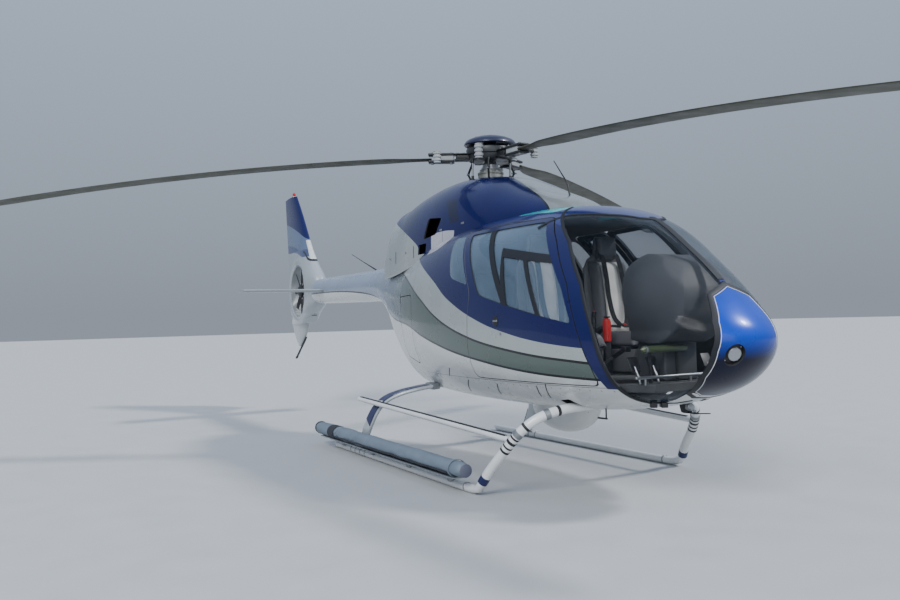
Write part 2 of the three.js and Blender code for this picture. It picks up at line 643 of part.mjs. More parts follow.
function addRearBody() {
  const grownHull = hull(-SEAT_GAP);
  const aft = common(aftShell, block(BOOM_X, BULKHEAD_X - SEAT_GAP, -WIDE, WIDE, BELOW_Z, ABOVE_Z));
  const hatch = sidePrism(BAGGAGE_DOOR, ...sideBand(-1, 60));
  const hatchHole = sidePrism(grown(BAGGAGE_DOOR, DOOR_GAP), ...sideBand(-1, 60));
  const knuckles = HATCH_KNUCKLES.map(hatchKnuckle);
  const stillKnuckles = knuckles.map(([still]) => still);
  addPart('aft_fuselage', join(cut(aft, hatchHole, rearBlade(1)), ...stillKnuckles), 'silver');
  addPart('baggage_door', join(common(aftShell, hatch), ...knuckles.map(([, moving]) => moving)), 'silver');
  const boom = common(aftShell, block(BOOM_END_X, BOOM_X - SEAT_GAP, -WIDE, WIDE, BELOW_Z, ABOVE_Z));
  addPart('tail_boom', boom, 'silver');

  const shell = cut(cowl(0), cowl(AFT_SKIN), grownHull, mastHole());
  const intakes = [-1, 1].flatMap((side) => [
    sidePrism(INTAKE, ...sideBand(side, 350)),
    sidePrism(LOW_INTAKE, ...sideBand(side, 300)),
  ]);
  const { hole, outside, inside, from, to, z } = EXHAUST;
  const exhaustHole = placed(
    new THREE.CylinderGeometry(hole, hole, 900, 20), [0, 0, Math.PI / 2], [-1700, 0, z]);
  addPart('engine_cowling', cut(shell, ...intakes, exhaustHole), 'blue');

  addPart('engine_block', cut(block(to + SEAT_GAP, ...ENGINE_BLOCK), grownHull), 'steel');
  const drums = GEARBOX.map(([high, low, height, middle]) => placed(
    new THREE.CylinderGeometry(high, low, height, 20), [Math.PI / 2, 0, 0], [0, 0, middle]));
  addPart('gearbox', cut(join(...drums), grownHull), 'steel');
  const pipe = turnedRing(inside, outside, from, to, 20);
  addPart('exhaust_pipe', placed(pipe, [0, 0, -Math.PI / 2], [0, 0, z]), 'steel');
}

const mastHole = () => placed(new THREE.CylinderGeometry(MAST_HOLE, MAST_HOLE, 400, 32), [Math.PI / 2, 0, 0],
  [0, 0, 2700]);

// Wing-like lofts for the fin, the shroud, the stabilizer and the blades

// Half thickness of a rounded, tapering section, from its leading edge at 0 to its trailing edge at 1
function foilHalf(u, thickness) {
  return thickness * (1.48 * Math.sqrt(u) - 0.63 * u - 1.76 * u ** 2 + 1.42 * u ** 3 - 0.48 * u ** 4) + 1.5;
}

const FOIL_STEPS = [0, 0.03, 0.1, 0.25, 0.5, 0.75, 1];
function foilRing(lead, trail, thickness, place) {
  const upper = FOIL_STEPS.map((u) => place(lead + (trail - lead) * u, foilHalf(u, thickness)));
  const lower = FOIL_STEPS.slice().reverse().map((u) => (
    place(lead + (trail - lead) * u, -foilHalf(u, thickness))));
  return [...upper, ...lower];
}

// Fin and shroud sections. Columns: z, leading edge x, trailing edge x, thickness.
const FIN_SECTIONS = [
  [2470, -5290, -6430, 170],
  [2700, -5450, -6460, 135],
  [3050, -5700, -6500, 105],
  [3375, -5965, -6535, 80],
];
const SHROUD_SECTIONS = [
  [1330, -5430, -6300, 190],
  [1440, -5230, -6330, 260],
  [1640, -4870, -6370, 330],
  [1840, -4830, -6385, 345],
  [2000, -4870, -6385, 335],
  [2220, -5090, -6395, 260],
  [2470 - SEAT_GAP, -5290, -6430, 170],
];
const LOWER_FIN_SECTIONS = [
  [975, -5885, -5990, 30],
  [1137, -5640, -6170, 60],
  [1330 - SEAT_GAP, -5480, -6290, 110],
];
// The tail bumper follows the lower fin's front edge and runs on below it
const BUMPER = [[-5640, 1136, 0], [-6165, 789, 0], [-6130, 762, 0], [-5590, 1120, 0]];

function finLoft(sections) {
  return loft(sections.map(([z, lead, trail, thickness]) => foilRing(lead, trail, thickness, (x, y) => (
    new THREE.Vector3(x, y, z)))));
}

function duct(radius, width, sides = 40) {
  return placed(new THREE.CylinderGeometry(radius, radius, width, sides), [0, 0, 0], [FAN_X, 0, FAN_Z]);
}

const STABILIZER = { lead: -4290, trail: -4740, thickness: 42, root: 100, tip: 1290, z: 1790 };
const BEACON = { x: -6080, base: 3375 + SEAT_GAP, radius: 30, height: 74 };

function addTail() {
  addPart('tail_fin', finLoft(FIN_SECTIONS), 'navy');
  const { radius, height } = BEACON;
  const beacon = new THREE.LatheGeometry([[0, height], [radius * 0.45, height - 4], [radius * 0.8, height - 16],
    [radius * 0.85, 18], [radius, 16], [radius, 0], [0, 0]].map(([r, h]) => new THREE.Vector2(r, h)), 16);
  addPart('fin_beacon', placed(beacon, [Math.PI / 2, 0, 0], [BEACON.x, 0, BEACON.base]), 'beacon');
  const boomRoom = block(BOOM_END_X - SEAT_GAP, -4000, -WIDE, WIDE, 1000, 2300);
  const shroudBody = cut(finLoft(SHROUD_SECTIONS), boomRoom);
  const plug = common(aftHull, block(BOOM_END_X - 60, BOOM_END_X + 140, -WIDE, WIDE, 1400, 2200));
  const rooted = join(shroudBody, common(hull(AFT_SKIN + SEAT_GAP), plug));
  addPart('fan_shroud', cut(rooted, duct(DUCT_RADIUS + DUCT_WALL, 600)), 'silver');
  addPart('lower_fin', finLoft(LOWER_FIN_SECTIONS), 'silver');
  const cleared = LOWER_FIN_SECTIONS.map(([z, lead, trail, thickness]) => (
    [z, lead + 1, trail, thickness + 1]));
  addPart('tail_bumper', cut(sidePrism(BUMPER, -9, 9), finLoft(cleared)), 'dark');

  // The duct's liner carries the still vanes and the gear case in the middle
  const liner = turnedRing(DUCT_RADIUS, DUCT_RADIUS + DUCT_WALL - SEAT_GAP, -LINER_HALF, LINER_HALF, 40);
  const vanes = Array.from({ length: VANE_COUNT }, (_, i) => {
    const vane = new THREE.BoxGeometry(320, 90, 9).translate(235, VANE_Y, 0);
    return solid(vane.rotateY((2 * Math.PI * i) / VANE_COUNT));
  });
  const caseLength = 2 * VANE_Y + FAN_GAP;
  const gearCase = solid(new THREE.CylinderGeometry(GEAR_CASE_RADIUS, GEAR_CASE_RADIUS, caseLength, 20)
    .translate(0, VANE_Y - FAN_GAP / 2, 0));
  const still = join(solid(liner), gearCase, ...vanes).translate([FAN_X, 0, FAN_Z]);
  addPart('fan_stator', still, 'silver');

  const fan = Array.from({ length: FAN_BLADES }, (_, i) => {
    const blade = new THREE.BoxGeometry(FAN_RADIUS - FAN_BLADE_ROOT, 12, 62).rotateX(FAN_BLADE_PITCH)
      .translate((FAN_RADIUS + FAN_BLADE_ROOT) / 2, FAN_Y, 0);
    return solid(blade.rotateY((2 * Math.PI * i) / FAN_BLADES));
  });
  const hubDisc = solid(new THREE.LatheGeometry([[0, -110], [60, -105], [95, -85], [100, -18], [0, -18]]
    .map(([r, h]) => new THREE.Vector2(r, h)), 20));
  addPart('fan_rotor', join(hubDisc, ...fan).translate([FAN_X, 0, FAN_Z]), 'dark');

  [-1, 1].forEach((side) => {
    const { lead, trail, thickness, root, tip, z } = STABILIZER;
    const rings = [root, tip].map((reach) => foilRing(lead, trail, thickness, (x, t) => (
      new THREE.Vector3(x, side * reach, z + t))));
    const wing = cut(loft(rings), hull(-SEAT_GAP));
    addPart(side < 0 ? 'stabilizer_right' : 'stabilizer_left', wing, 'silver');
  });
}

// The rotor group is drawn upright and then leans with the mast
const rotor = new THREE.Group();
rotor.position.set(0, 0, HUB_Z);
rotor.rotation.y = MAST_TILT;
frame.add(rotor);

const ARM_END = 340;           // where a hub arm ends and a blade's sleeve starts
const HUB_RADIUS = 230;
const HUB_TOP = 30;
const HUB_HEIGHT = 120;
const BLADE_Z = -55;            // the blades' middle plane, from the hub's middle
const DAMPER = { reach: 215, radius: 44, low: -85, high: 52 };      // between two arms
const ADAPTER = { along: 500, across: 165, radius: 37, low: -118, high: -4 };   // beside a sleeve
const PITCH_ROD = { reach: 205, turn: 35, radius: 10 };
const SWASHPLATE = { inside: 150, outside: 216, low: -297, high: -272 };

// The hub's dished cap and its stem, as radius and height above the hub's middle
const HUB_CAP_PROFILE = [
  [0, 150], [120, 145], [215, 112], [250, 70], [238, 58], [205, 95], [110, 125], [60, 130],
  [60, HUB_TOP + SEAT_GAP], [0, HUB_TOP + SEAT_GAP],
];
// Blade stations. Columns: distance from the mast, chord, thickness.
const BLADE_STATIONS = [
  [BLADE_ROOT, 120, 44], [760, 150, 40], [1000, BLADE_CHORD, 30], [2000, BLADE_CHORD, 28],
  [3000, BLADE_CHORD, 26], [4000, BLADE_CHORD, 24], [4700, BLADE_CHORD, 22], [ROTOR_RADIUS, 150, 14],
];

const droopAt = (reach) => -BLADE_DROOP * (reach / ROTOR_RADIUS) ** 2;

function bladeSolid(turn) {
  const axis = new THREE.Vector3(0, 0, 1);
  return loft(BLADE_STATIONS.map(([reach, chord, thickness]) => (
    foilRing(-chord / 2, chord / 2, thickness / 2, (y, z) => (
      new THREE.Vector3(reach, y, droopAt(reach) + z + BLADE_Z).applyAxisAngle(axis, turn))))));
}

function addRotor() {
  const up = [Math.PI / 2, 0, 0];
  const mast = join(
    placed(new THREE.CylinderGeometry(52, 60, 190, 16), up, [0, 0, -65]),
    placed(new THREE.CylinderGeometry(85, 85, 46, 16), up, [0, 0, -143]),
  );
  const spoke = (geometry, k) => solid(geometry.rotateZ((2 * Math.PI * k) / 3));
  const drum = new THREE.CylinderGeometry(HUB_RADIUS, HUB_RADIUS - 30, HUB_HEIGHT, 24);
  const upright = (radius, low, high, sides = 14) => new THREE.CylinderGeometry(radius, radius, high - low, sides)
    .rotateX(Math.PI / 2).translate(0, 0, (low + high) / 2);
  const star = join(
    placed(drum, up, [0, 0, HUB_TOP - HUB_HEIGHT / 2]),
    ...[0, 1, 2].flatMap((k) => [
      spoke(new THREE.BoxGeometry(300, 130, 66).translate(ARM_END - 150, 0, -45), k),
      spoke(upright(DAMPER.radius, DAMPER.low, DAMPER.high).translate(DAMPER.reach, 0, 0), k + 0.5),
      spoke(upright(PITCH_ROD.radius, SWASHPLATE.low + 5, -80, 10).translate(PITCH_ROD.reach, 0, 0),
        k + PITCH_ROD.turn / 120),
    ]),
  );
  const { inside, outside, low, high } = SWASHPLATE;
  const ring = turnedRing(inside, outside, low, high, 28);
  addPart('rotor_hub', join(mast, star, placed(ring, up, [0, 0, 0])), 'dark', rotor);
  const cap = new THREE.LatheGeometry(HUB_CAP_PROFILE.map(([r, h]) => new THREE.Vector2(r, h)), 24);
  addPart('hub_cap', placed(cap, up, [0, 0, 0]), 'navy', rotor);
  [0, 1, 2].forEach((k) => {
    const turn = (2 * Math.PI * k) / 3;
    const sleeve = spoke(new THREE.BoxGeometry(250, 112, 90).translate(ARM_END + SEAT_GAP + 125, 0, -52), k);
    const { along, across, radius } = ADAPTER;
    const adapter = spoke(upright(radius, ADAPTER.low, ADAPTER.high).translate(along, across, 0), k);
    const bracket = spoke(new THREE.BoxGeometry(60, across, 26).translate(along, across / 2, -60), k);
    addPart(`blade_${k + 1}`, join(bladeSolid(turn), sleeve, adapter, bracket), 'blade', rotor);
  });
}

const mirrored = (points, side) => points.map(([x, y, z]) => [x, y * side, z]);

const SKID_PATH = [[SKID_REAR_X, SKID_Y, SKID_RADIUS], [SKID_FRONT_X, SKID_Y, SKID_RADIUS], [1262, SKID_Y, 38],
  [1338, 999, 56], [1371.6, 995.2, 96.2]];
const BAG_Y = 1086;
const BAG_Z = 186;
const BAG_RADIUS = 75;
const BAG_TRAY_TOP = 124;
const TRAY_POSTS_X = [-1350, -600, 200, 950];
const STEP_BAR = [[-1020, 985, 550], [1634, 887, 430]];

function addGear() {
  addPart('front_cross_tube', frontTube(0), 'white');
  const skids = [-1, 1].map((side) => bar(mirrored(SKID_PATH, side), SKID_RADIUS + SEAT_GAP, [0, 0, 1]));
  addPart('rear_cross_blade', cut(rearBlade(0), ...skids), 'silver');
  [[-1, 'right'], [1, 'left']].forEach(([side, name]) => {
    const between = (y0, y1) => (side < 0 ? [-y1, -y0] : [y0, y1]);
    const skid = bar(mirrored(SKID_PATH, side), SKID_RADIUS, [0, 0, 1]);
    const posts = TRAY_POSTS_X.map((x) => block(x - 25, x + 25, ...between(995, 1050), 40, BAG_TRAY_TOP - 8));
    const tray = block(-1760, 1180, ...between(1035, 1140), BAG_TRAY_TOP - 10, BAG_TRAY_TOP);
    const shoe = side < 0 ? join(skid, tray, ...posts) : skid;
    addPart(`skid_${name}`, cut(shoe, frontTube(SEAT_GAP)), 'white');
    const step = bar(mirrored(STEP_BAR, side), 24, [0, 0, 1]);
    const bracket = block(-750, -650, ...between(880, 960), 512, 552);
    addPart(`step_${name}`, cut(join(step, bracket), frontTube(SEAT_GAP), rearBlade(SEAT_GAP)), 'white');
  });
  // The packed float bag lies on the starboard skid's tray
  const bag = new THREE.CapsuleGeometry(BAG_RADIUS, 3080, 3, 10);
  bag.rotateZ(Math.PI / 2);
  bag.scale(1, 1, 0.86);
  bag.translate(-320, -BAG_Y, BAG_Z);
  const seat = block(-3000, 3000, -1300, -900, 0, BAG_TRAY_TOP + SEAT_GAP);
  addPart('float_bag_right', cut(solid(bag), seat), 'vinyl');
}

function addSeat(name, x, y, width, height) {
  const [left, right] = [y - width / 2, y + width / 2];
  const base = join(
    block(x - 230, x + 230, left + 40, right - 40, FLOOR_Z + SEAT_GAP, FLOOR_Z + 200),
    block(x - 250, x + 270, left, right, FLOOR_Z + 200, FLOOR_Z + 330),
    sidePrism([[x - 250, FLOOR_Z + 200, 0], [x - 120, FLOOR_Z + 200, 0], [x - 230, FLOOR_Z + height - 200, 40],
      [x - 250, FLOOR_Z + height, 40], [x - 330, FLOOR_Z + height, 40], [x - 340, FLOOR_Z + height - 250, 0]],
    left, right),
  );
  addPart(name, base, 'leather');
}

const HOOD = [[2150, 1130, 0], [2440, 1100, 60], [2680, 1250, 80], [2720, 1450, 80], [2600, 1640, 60],
  [2400, 1715, 60], [2200, 1735, 30], [2150, 1690, 20]];
const SEAT_Y = 330;
const STICK_PATH = [[1960, FLOOR_Z + SEAT_GAP], [1960, 900], [1980, 990], [1900, 1180], [1900, 1330]];
const HOOD_DEPTH = 45;         // from the outside of the windshield to the hood

function addFurnishing() {
  addSeat('seat_right', 1530, -SEAT_Y, 470, 1130);
  addSeat('seat_left', 1530, SEAT_Y, 470, 1130);
  addSeat('rear_bench', 200, 0, 1040, 950);
  // The panel's hood is a wide dome that follows the windshield
  const hood = common(
    sidePrism(HOOD, -500, 500),
    placed(new THREE.SphereGeometry(1, 24, 16).scale(560, 400, 480), [0, 0, 0], [2360, 0, 1280]),
    hull(HOOD_DEPTH),
  );
  addPart('instrument_panel', join(block(2150, 2420, -150, 150, FLOOR_Z + SEAT_GAP, 1180), hood), 'dark');
  [[-1, 'right'], [1, 'left']].forEach(([side, name]) => {
    const stick = bar(STICK_PATH.map(([x, z]) => [x, side * SEAT_Y, z]), 14, [0, 1, 0], 8);
    addPart(`cyclic_stick_${name}`, stick, 'dark');
  });
}

const BELLY_POD = { x: 1080, z: 585, halves: [400, 190, 222] };
const BELLY_LAMP = { x: 2205, y: 232, z: 636 };

function addFittings() {
  const grownHull = hull(-SEAT_GAP);
  const pod = new THREE.SphereGeometry(1, 16, 10).scale(...BELLY_POD.halves)
    .translate(BELLY_POD.x, 0, BELLY_POD.z);
  addPart('belly_pod', cut(solid(pod), grownHull), 'pale');
  const { x, y, z } = BELLY_LAMP;
  const lampCan = placed(new THREE.CylinderGeometry(30, 30, 80, 16), [0, 0, Math.PI / 2], [x + 55, y, z]);
  const bracket = block(x - 40, x + 40, y - 25, y + 25, z - 44, z + 120);
  addPart('belly_lamp', cut(join(lampCan, bracket), grownHull), 'dark');
}

addNose();
addCabin();
addDoors();
addCabinInside();
addRearBody();
addTail();
addRotor();
addGear();
addFurnishing();
addFittings();

// The origin goes to the ground under the middle of the outer box
const box = new THREE.Box3().setFromObject(group);
const middle = box.getCenter(new THREE.Vector3());
frame.position.set(-middle.x, -middle.y, -box.min.z);

export default group;
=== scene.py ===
"""A light helicopter on skids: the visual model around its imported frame.

The tables below are in millimetres from the foot of the rotor mast's line on the ground, with +X
towards the nose, +Y to port and +Z up. place() turns such points into metres in the shared frame.
"""
import json
import math

import bmesh
import bpy
import numpy as np
from mathutils import Matrix, Vector, geometry


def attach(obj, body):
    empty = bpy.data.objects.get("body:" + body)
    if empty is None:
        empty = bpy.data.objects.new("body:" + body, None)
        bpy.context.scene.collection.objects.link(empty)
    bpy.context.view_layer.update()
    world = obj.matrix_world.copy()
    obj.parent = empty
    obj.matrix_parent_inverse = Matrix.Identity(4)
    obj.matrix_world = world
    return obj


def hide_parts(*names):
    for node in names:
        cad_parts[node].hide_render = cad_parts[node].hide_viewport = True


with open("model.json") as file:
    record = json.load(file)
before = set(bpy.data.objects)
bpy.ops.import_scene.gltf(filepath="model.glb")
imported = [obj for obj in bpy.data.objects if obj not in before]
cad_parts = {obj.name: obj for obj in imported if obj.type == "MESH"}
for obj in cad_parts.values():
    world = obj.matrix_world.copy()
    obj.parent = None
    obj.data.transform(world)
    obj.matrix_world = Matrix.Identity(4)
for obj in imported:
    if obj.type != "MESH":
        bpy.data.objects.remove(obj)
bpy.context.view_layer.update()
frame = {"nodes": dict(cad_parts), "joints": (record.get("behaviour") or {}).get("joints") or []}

# Places and sizes

HUB_Z, MAST_HOLE = 2900.0, 236.0
MAST_TILT = math.radians(2)
JOINT_AT = {j["name"]: j["pos_m"] for j in frame["joints"]}
MAST = np.array(JOINT_AT["main_rotor_spin"]) - [0, 0, HUB_Z / 1000]

SKIN, AFT_SKIN, GLASS, GLASS_DEPTH = 24.0, 14.0, 6.0, 10.3
NOSE_X, BULKHEAD_X, BOOM_X, BOOM_END_X = 3080.0, -420.0, -2350.0, -4860.0
SEAM_Z, FLOOR_Z, DOOR_FOOT_Z, ROOF_EDGE_Y = 822.0, 850.0, 838.0, 500.0
DOOR_GAP, SEAT_GAP = 7.0, 0.3
SILL_Z = DOOR_FOOT_Z - DOOR_GAP + SEAT_GAP
# Limits that tell a surface's parts from each other
ROOF_Z, CHIN_Z, POST_FOOT_Z, CAP_X, LAMP_X = 1700.0, 850.0, 1200.0, 2400.0, 2800.0
SEAT_Y = 330.0
SIDES = (("right", -1), ("left", 1))

# Fuselage sections. Columns: x, lowest z, highest z, half width, z of the widest line,
# squareness below that line, squareness above it (2 is an ellipse).
SECTIONS = np.array([
    [3080, 1130, 1130, 0, 1130, 2.0, 2.0],
    [3000, 945, 1300, 260, 1125, 2.0, 2.0],
    [2850, 825, 1465, 405, 1110, 2.1, 2.0],
    [2540, 720, 1745, 570, 1100, 2.3, 2.0],
    [2240, 655, 1970, 670, 1120, 2.5, 2.1],
    [1900, 615, 2105, 725, 1150, 2.6, 2.4],
    [1500, 590, 2172, 755, 1180, 2.7, 2.8],
    [900, 585, 2195, 765, 1220, 2.7, 3.0],
    [300, 585, 2190, 745, 1280, 2.6, 3.0],
    [-300, 590, 2155, 680, 1350, 2.4, 2.8],
    [-900, 620, 2090, 545, 1440, 2.3, 2.5],
    [-1300, 710, 2035, 440, 1510, 2.2, 2.3],
    [-1700, 940, 1992, 335, 1610, 2.1, 2.2],
    [-2050, 1280, 1976, 250, 1705, 2.0, 2.1],
    [-2400, 1530, 1968, 205, 1755, 2.0, 2.0],
    [-3200, 1580, 1970, 188, 1775, 2.0, 2.0],
    [-4100, 1600, 1977, 175, 1790, 2.0, 2.0],
    [-4950, 1622, 1988, 165, 1805, 2.0, 2.0],
], float)

# Outlines seen from the side, as corners x, z and corner radius
PILLAR_FRONT = [[2385, 740, 0], [2356, 963, 0], [2272, 1240, 0], [2150, 1525, 0], [1935, 1835, 0],
                [1600, 2140, 0]]
DOOR_FRONT = [[2250, 960, 0], [2142, 1240, 0], [2028, 1531, 0], [1822, 1844, 0], [1640, 2052, 50]]
DOOR_RIGHT = [[560, 2052, 60], [705, 1800, 0], [852, 1520, 60], [812, 1330, 0], [800, 1100, 0],
              [812, DOOR_FOOT_Z, 70], [2262, DOOR_FOOT_Z, 60]] + DOOR_FRONT
DOOR_LEFT = [[1005, 2052, 50], [1395, 1417, 60], [1300, 1100, 0], [1290, DOOR_FOOT_Z, 70],
             [2262, DOOR_FOOT_Z, 60]] + DOOR_FRONT
SLIDING_DOOR = [[560, 2052, 60], [705, 1800, 0], [852, 1520, 60], [812, 1330, 0], [800, 1100, 0],
                [812, SILL_Z, 70], [1276, SILL_Z, 70], [1286, 1100, 0], [1378, 1417, 60], [988, 2052, 50]]
WINDOW_RIGHT = [[640, 2022, 40], [985, 1498, 50], [1417, 1396, 0], [1801, 1313, 0], [2105, 1256, 40],
                [1992, 1500, 0], [1850, 1700, 0], [1610, 2022, 50]]
PANES_RIGHT = [
    [[640, 2022, 40], [985, 1498, 40], [1325, 1418, 30], [945, 2022, 30]],
    [[1010, 2022, 30], [1300, 1562, 10], [1245, 1856, 10], [1870, 1745, 20], [1610, 2022, 50]],
    [[1280, 1784, 20], [1315, 1700, 0], [1390, 1404, 30], [1745, 1328, 20], [1545, 1738, 20]],
    [[1590, 1730, 20], [1790, 1318, 20], [2105, 1256, 40], [1992, 1500, 0], [1893, 1686, 20]],
]
WINDOW_LEFT = [[1085, 2022, 40], [1445, 1396, 50], [1801, 1313, 0], [2105, 1256, 40], [1992, 1500, 0],
               [1850, 1700, 0], [1610, 2022, 50]]
PANES_LEFT = [
    [[1085, 2022, 40], [1215, 1800, 20], [1840, 1720, 20], [1610, 2022, 50]],
    [[1245, 1745, 20], [1445, 1396, 50], [1750, 1326, 20], [1570, 1706, 20]],
    [[1612, 1700, 20], [1795, 1316, 20], [2105, 1256, 40], [1992, 1500, 0], [1875, 1668, 20]],
]
WINDOW_SLIDING = [[640, 2022, 40], [985, 1498, 50], [1325, 1418, 40], [945, 2022, 40]]
PANE_SLIDING = [[695, 1995, 30], [1000, 1525, 40], [1283, 1452, 30], [932, 1995, 30]]
QUARTER_WINDOW = [[345, 2022, 40], [484, 1668, 60], [800, 1590, 40], [535, 2022, 40]]
BAGGAGE_DOOR = [[-500, 1560, 60], [-500, 900, 60], [-960, 960, 60], [-1010, 1560, 60]]
WINDSHIELD = PILLAR_FRONT[::-1] + [[2400, 712, 0], [2480, 708, 0], [2600, 735, 0], [2660, 690, 0],
                                   [3200, 690, 0], [3200, 2300, 0], [1600, 2300, 0]]
# Seen from above: the windshield's top edge on the roof, and a roof window
ROOF_EDGE = np.array([[1560, -560], [1740, -400], [2020, -250], [2180, -120], [2232, 0], [2180, 120],
                      [2020, 250], [1740, 400], [1560, 560]], float)
ROOF_WINDOW = [[1100, 170, 30], [1650, 170, 60], [1560, 400, 60], [1100, 430, 30]]
# Seen from the front: the nose cap, half width and z from the top down
CAP_EDGE = [[0, 1475], [160, 1410], [232, 1245], [262, 1065], [255, 900], [205, 800], [120, 770], [0, 760]]
POST_HALF = 24.0
LAMP_HOLE = (-156.0, 1042.0, 62.0, 68.0)      # y, z, half width, half height


def place(points):
    """Points in millimetres from the mast's foot, as metres in the shared frame."""
    return np.asarray(points, float) / 1000 + MAST


def unit(ways):
    return ways / np.linalg.norm(ways, axis=-1, keepdims=True)


def looped(points):
    """The points with the first one again at the end."""
    return np.vstack([points, points[:1]])


# Outlines

CORNER_POINTS = 5


def rounded(corners):
    """The outline's points, with its corners rounded."""
    count, out = len(corners), []
    for i, corner in enumerate(corners):
        here = np.array(corner[:2], float)
        radius = corner[2] if len(corner) > 2 else 0
        if not radius:
            out.append(here)
            continue
        ends = []
        for other in (corners[i - 1], corners[(i + 1) % count]):
            ends.append(here + unit(np.array(other[:2], float) - here) * radius)
        for u in np.linspace(0, 1, CORNER_POINTS):
            out.append((1 - u) ** 2 * ends[0] + 2 * u * (1 - u) * here + u ** 2 * ends[1])
    return np.array(out)


def dense(points, pitch, closed=True):
    """The same line with a point at least every pitch."""
    points = np.asarray(points, float)
    ring = looped(points) if closed else points
    out = []
    for a, b in zip(ring[:-1], ring[1:]):
        count = max(1, int(math.ceil(np.linalg.norm(b - a) / pitch)))
        out += [a + (b - a) * k / count for k in range(count)]
    if not closed:
        out.append(ring[-1])
    return np.array(out)


def grown(corners, distance):
    """The outline with its corners moved outwards by a distance, or inwards where it is negative."""
    points = np.array([c[:2] for c in corners], float)
    nxt = np.roll(points, -1, 0)
    area = np.sum(points[:, 0] * nxt[:, 1] - nxt[:, 0] * points[:, 1])
    edges = nxt - points
    normals = np.stack([edges[:, 1], -edges[:, 0]], 1) / np.linalg.norm(edges, axis=1)[:, None]
    before = np.roll(normals, 1, 0)
    scale = np.sign(area) * distance / (1 + np.sum(normals * before, 1))
    moved = points + (normals + before) * scale[:, None]
    return [[*p, c[2] if len(c) > 2 else 0] for p, c in zip(moved, corners)]


def inside(points, loop):
    """True for each 2-D point inside a closed loop."""
    x, y = points[:, 0][:, None], points[:, 1][:, None]
    x0, y0 = loop[:, 0][None], loop[:, 1][None]
    x1, y1 = np.roll(loop[:, 0], -1)[None], np.roll(loop[:, 1], -1)[None]
    crosses = ((y0 > y) != (y1 > y)) & (x < (x1 - x0) * (y - y0) / np.where(y1 == y0, 1e-9, y1 - y0) + x0)
    return crosses.sum(1) % 2 == 1


# The fuselage's surface, as a function of run (the square root of the distance behind the nose) and angle

def smooth_rows(keys, rows, at):
    """Values of a table's columns at given keys, on smooth curves through its rows."""
    k = np.clip(np.searchsorted(keys, at) - 1, 0, len(keys) - 2)
    slopes = np.empty_like(rows)
    slopes[1:-1] = (rows[2:] - rows[:-2]) / (keys[2:] - keys[:-2])[:, None]
    slopes[0] = (rows[1] - rows[0]) / (keys[1] - keys[0])
    slopes[-1] = (rows[-1] - rows[-2]) / (keys[-1] - keys[-2])
    step = (keys[k + 1] - keys[k])[..., None]
    u = ((at - keys[k])[..., None]) / step
    return ((2 * u ** 3 - 3 * u ** 2 + 1) * rows[k] + (u ** 3 - 2 * u ** 2 + u) * step * slopes[k]
            + (3 * u ** 2 - 2 * u ** 3) * rows[k + 1] + (u ** 3 - u ** 2) * step * slopes[k + 1])


RUNS = np.sqrt(NOSE_X - SECTIONS[:, 0])
MIRROR_ROW = SECTIONS[1, [2, 1, 3, 4, 5, 6]] * [1, 1, -1, 1, 1, 1]
HULL_KEYS = np.concatenate([[-RUNS[1]], RUNS])
HULL_ROWS = np.vstack([MIRROR_ROW, SECTIONS[:, 1:]])


def signed(value, power):
    """A power of the value's size, with the value's sign."""
    return np.sign(value) * np.abs(value) ** power


def hull_section(run):
    """The lowest and highest z, half width, z of the widest line, squareness below and above it."""
    return np.moveaxis(smooth_rows(HULL_KEYS, HULL_ROWS, run), -1, 0)


def run_at(x):
    return np.sqrt(np.maximum(NOSE_X - x, 1))


def quarter(section, up):
    """The squareness and the reach from the widest line, above that line where up is true."""
    low, high, _, widest, below, above = section
    return np.where(up, above, below), np.where(up, high - widest, widest - low)


def spread(section, y, z, inset=0.0):
    """Above 1 where y, z lie outside the section, or outside its outline moved in by the inset."""
    power, reach = quarter(section, z > section[3])
    return (np.abs(y) / np.maximum(section[2] - inset, 1)) ** power + (
        np.abs(z - section[3]) / np.maximum(reach - inset, 1)) ** power


def angle_at(section, z, way):
    """The angle of the section's point at a height, to port where way is 1, and whether it exists."""
    power, reach = quarter(section, z > section[3])
    share = (z - section[3]) / reach
    s = signed(np.clip(share, -1, 1), power / 2)
    return np.arctan2(s, way * np.sqrt(np.maximum(1 - s ** 2, 0))), np.abs(share) < 1


def hull_point(run, angle):
    section = hull_section(run)
    c, s = np.cos(angle), np.sin(angle)
    power, reach = quarter(section, s > 0)
    return np.stack([NOSE_X - run ** 2, section[2] * signed(c, 2 / power),
                     section[3] + reach * signed(s, 2 / power)], -1)


def surface_normal(point, first, second, step):
    along = point(first + step, second) - point(first - step, second)
    around = point(first, second + step) - point(first, second - step)
    return unit(np.cross(along, around))


def hull_normal(run, angle):
    return surface_normal(hull_point, run, angle, 0.02)


def hull_from_side(points, side):
    """Run and angle of the surface points that show at x, z from starboard (-1) or port (1)."""
    run = run_at(points[:, 0])
    return run, *angle_at(hull_section(run), points[:, 1], side)


def hull_from_above(points, upper=1):
    """Run and angle of the surface points that show at x, y from above (1) or below (-1)."""
    run = run_at(points[:, 0])
    section = hull_section(run)
    share = points[:, 1] / section[2]
    c = signed(np.clip(share, -1, 1), section[5 if upper > 0 else 4] / 2)
    return run, np.arctan2(upper * np.sqrt(np.maximum(1 - c ** 2, 0)), c), np.abs(share) < 1


def halved(low, high, beyond, times=40):
    """Closes in on the values between low and high where beyond(value) turns true."""
    for _ in range(times):
        middle = (low + high) / 2
        out = beyond(middle)
        low, high = np.where(out, low, middle), np.where(out, middle, high)
    return low, high


def hull_from_front(points):
    """Run and angle where lines along x through y, z meet the nose."""
    y, z = points[:, 0], points[:, 1]
    run, _ = halved(np.full(len(y), 35.0), np.full(len(y), 0.3),
                    lambda run: spread(hull_section(run), y, z) > 1)
    return run, angle_at(hull_section(run), z, np.sign(y))[0], np.ones(len(y), bool)


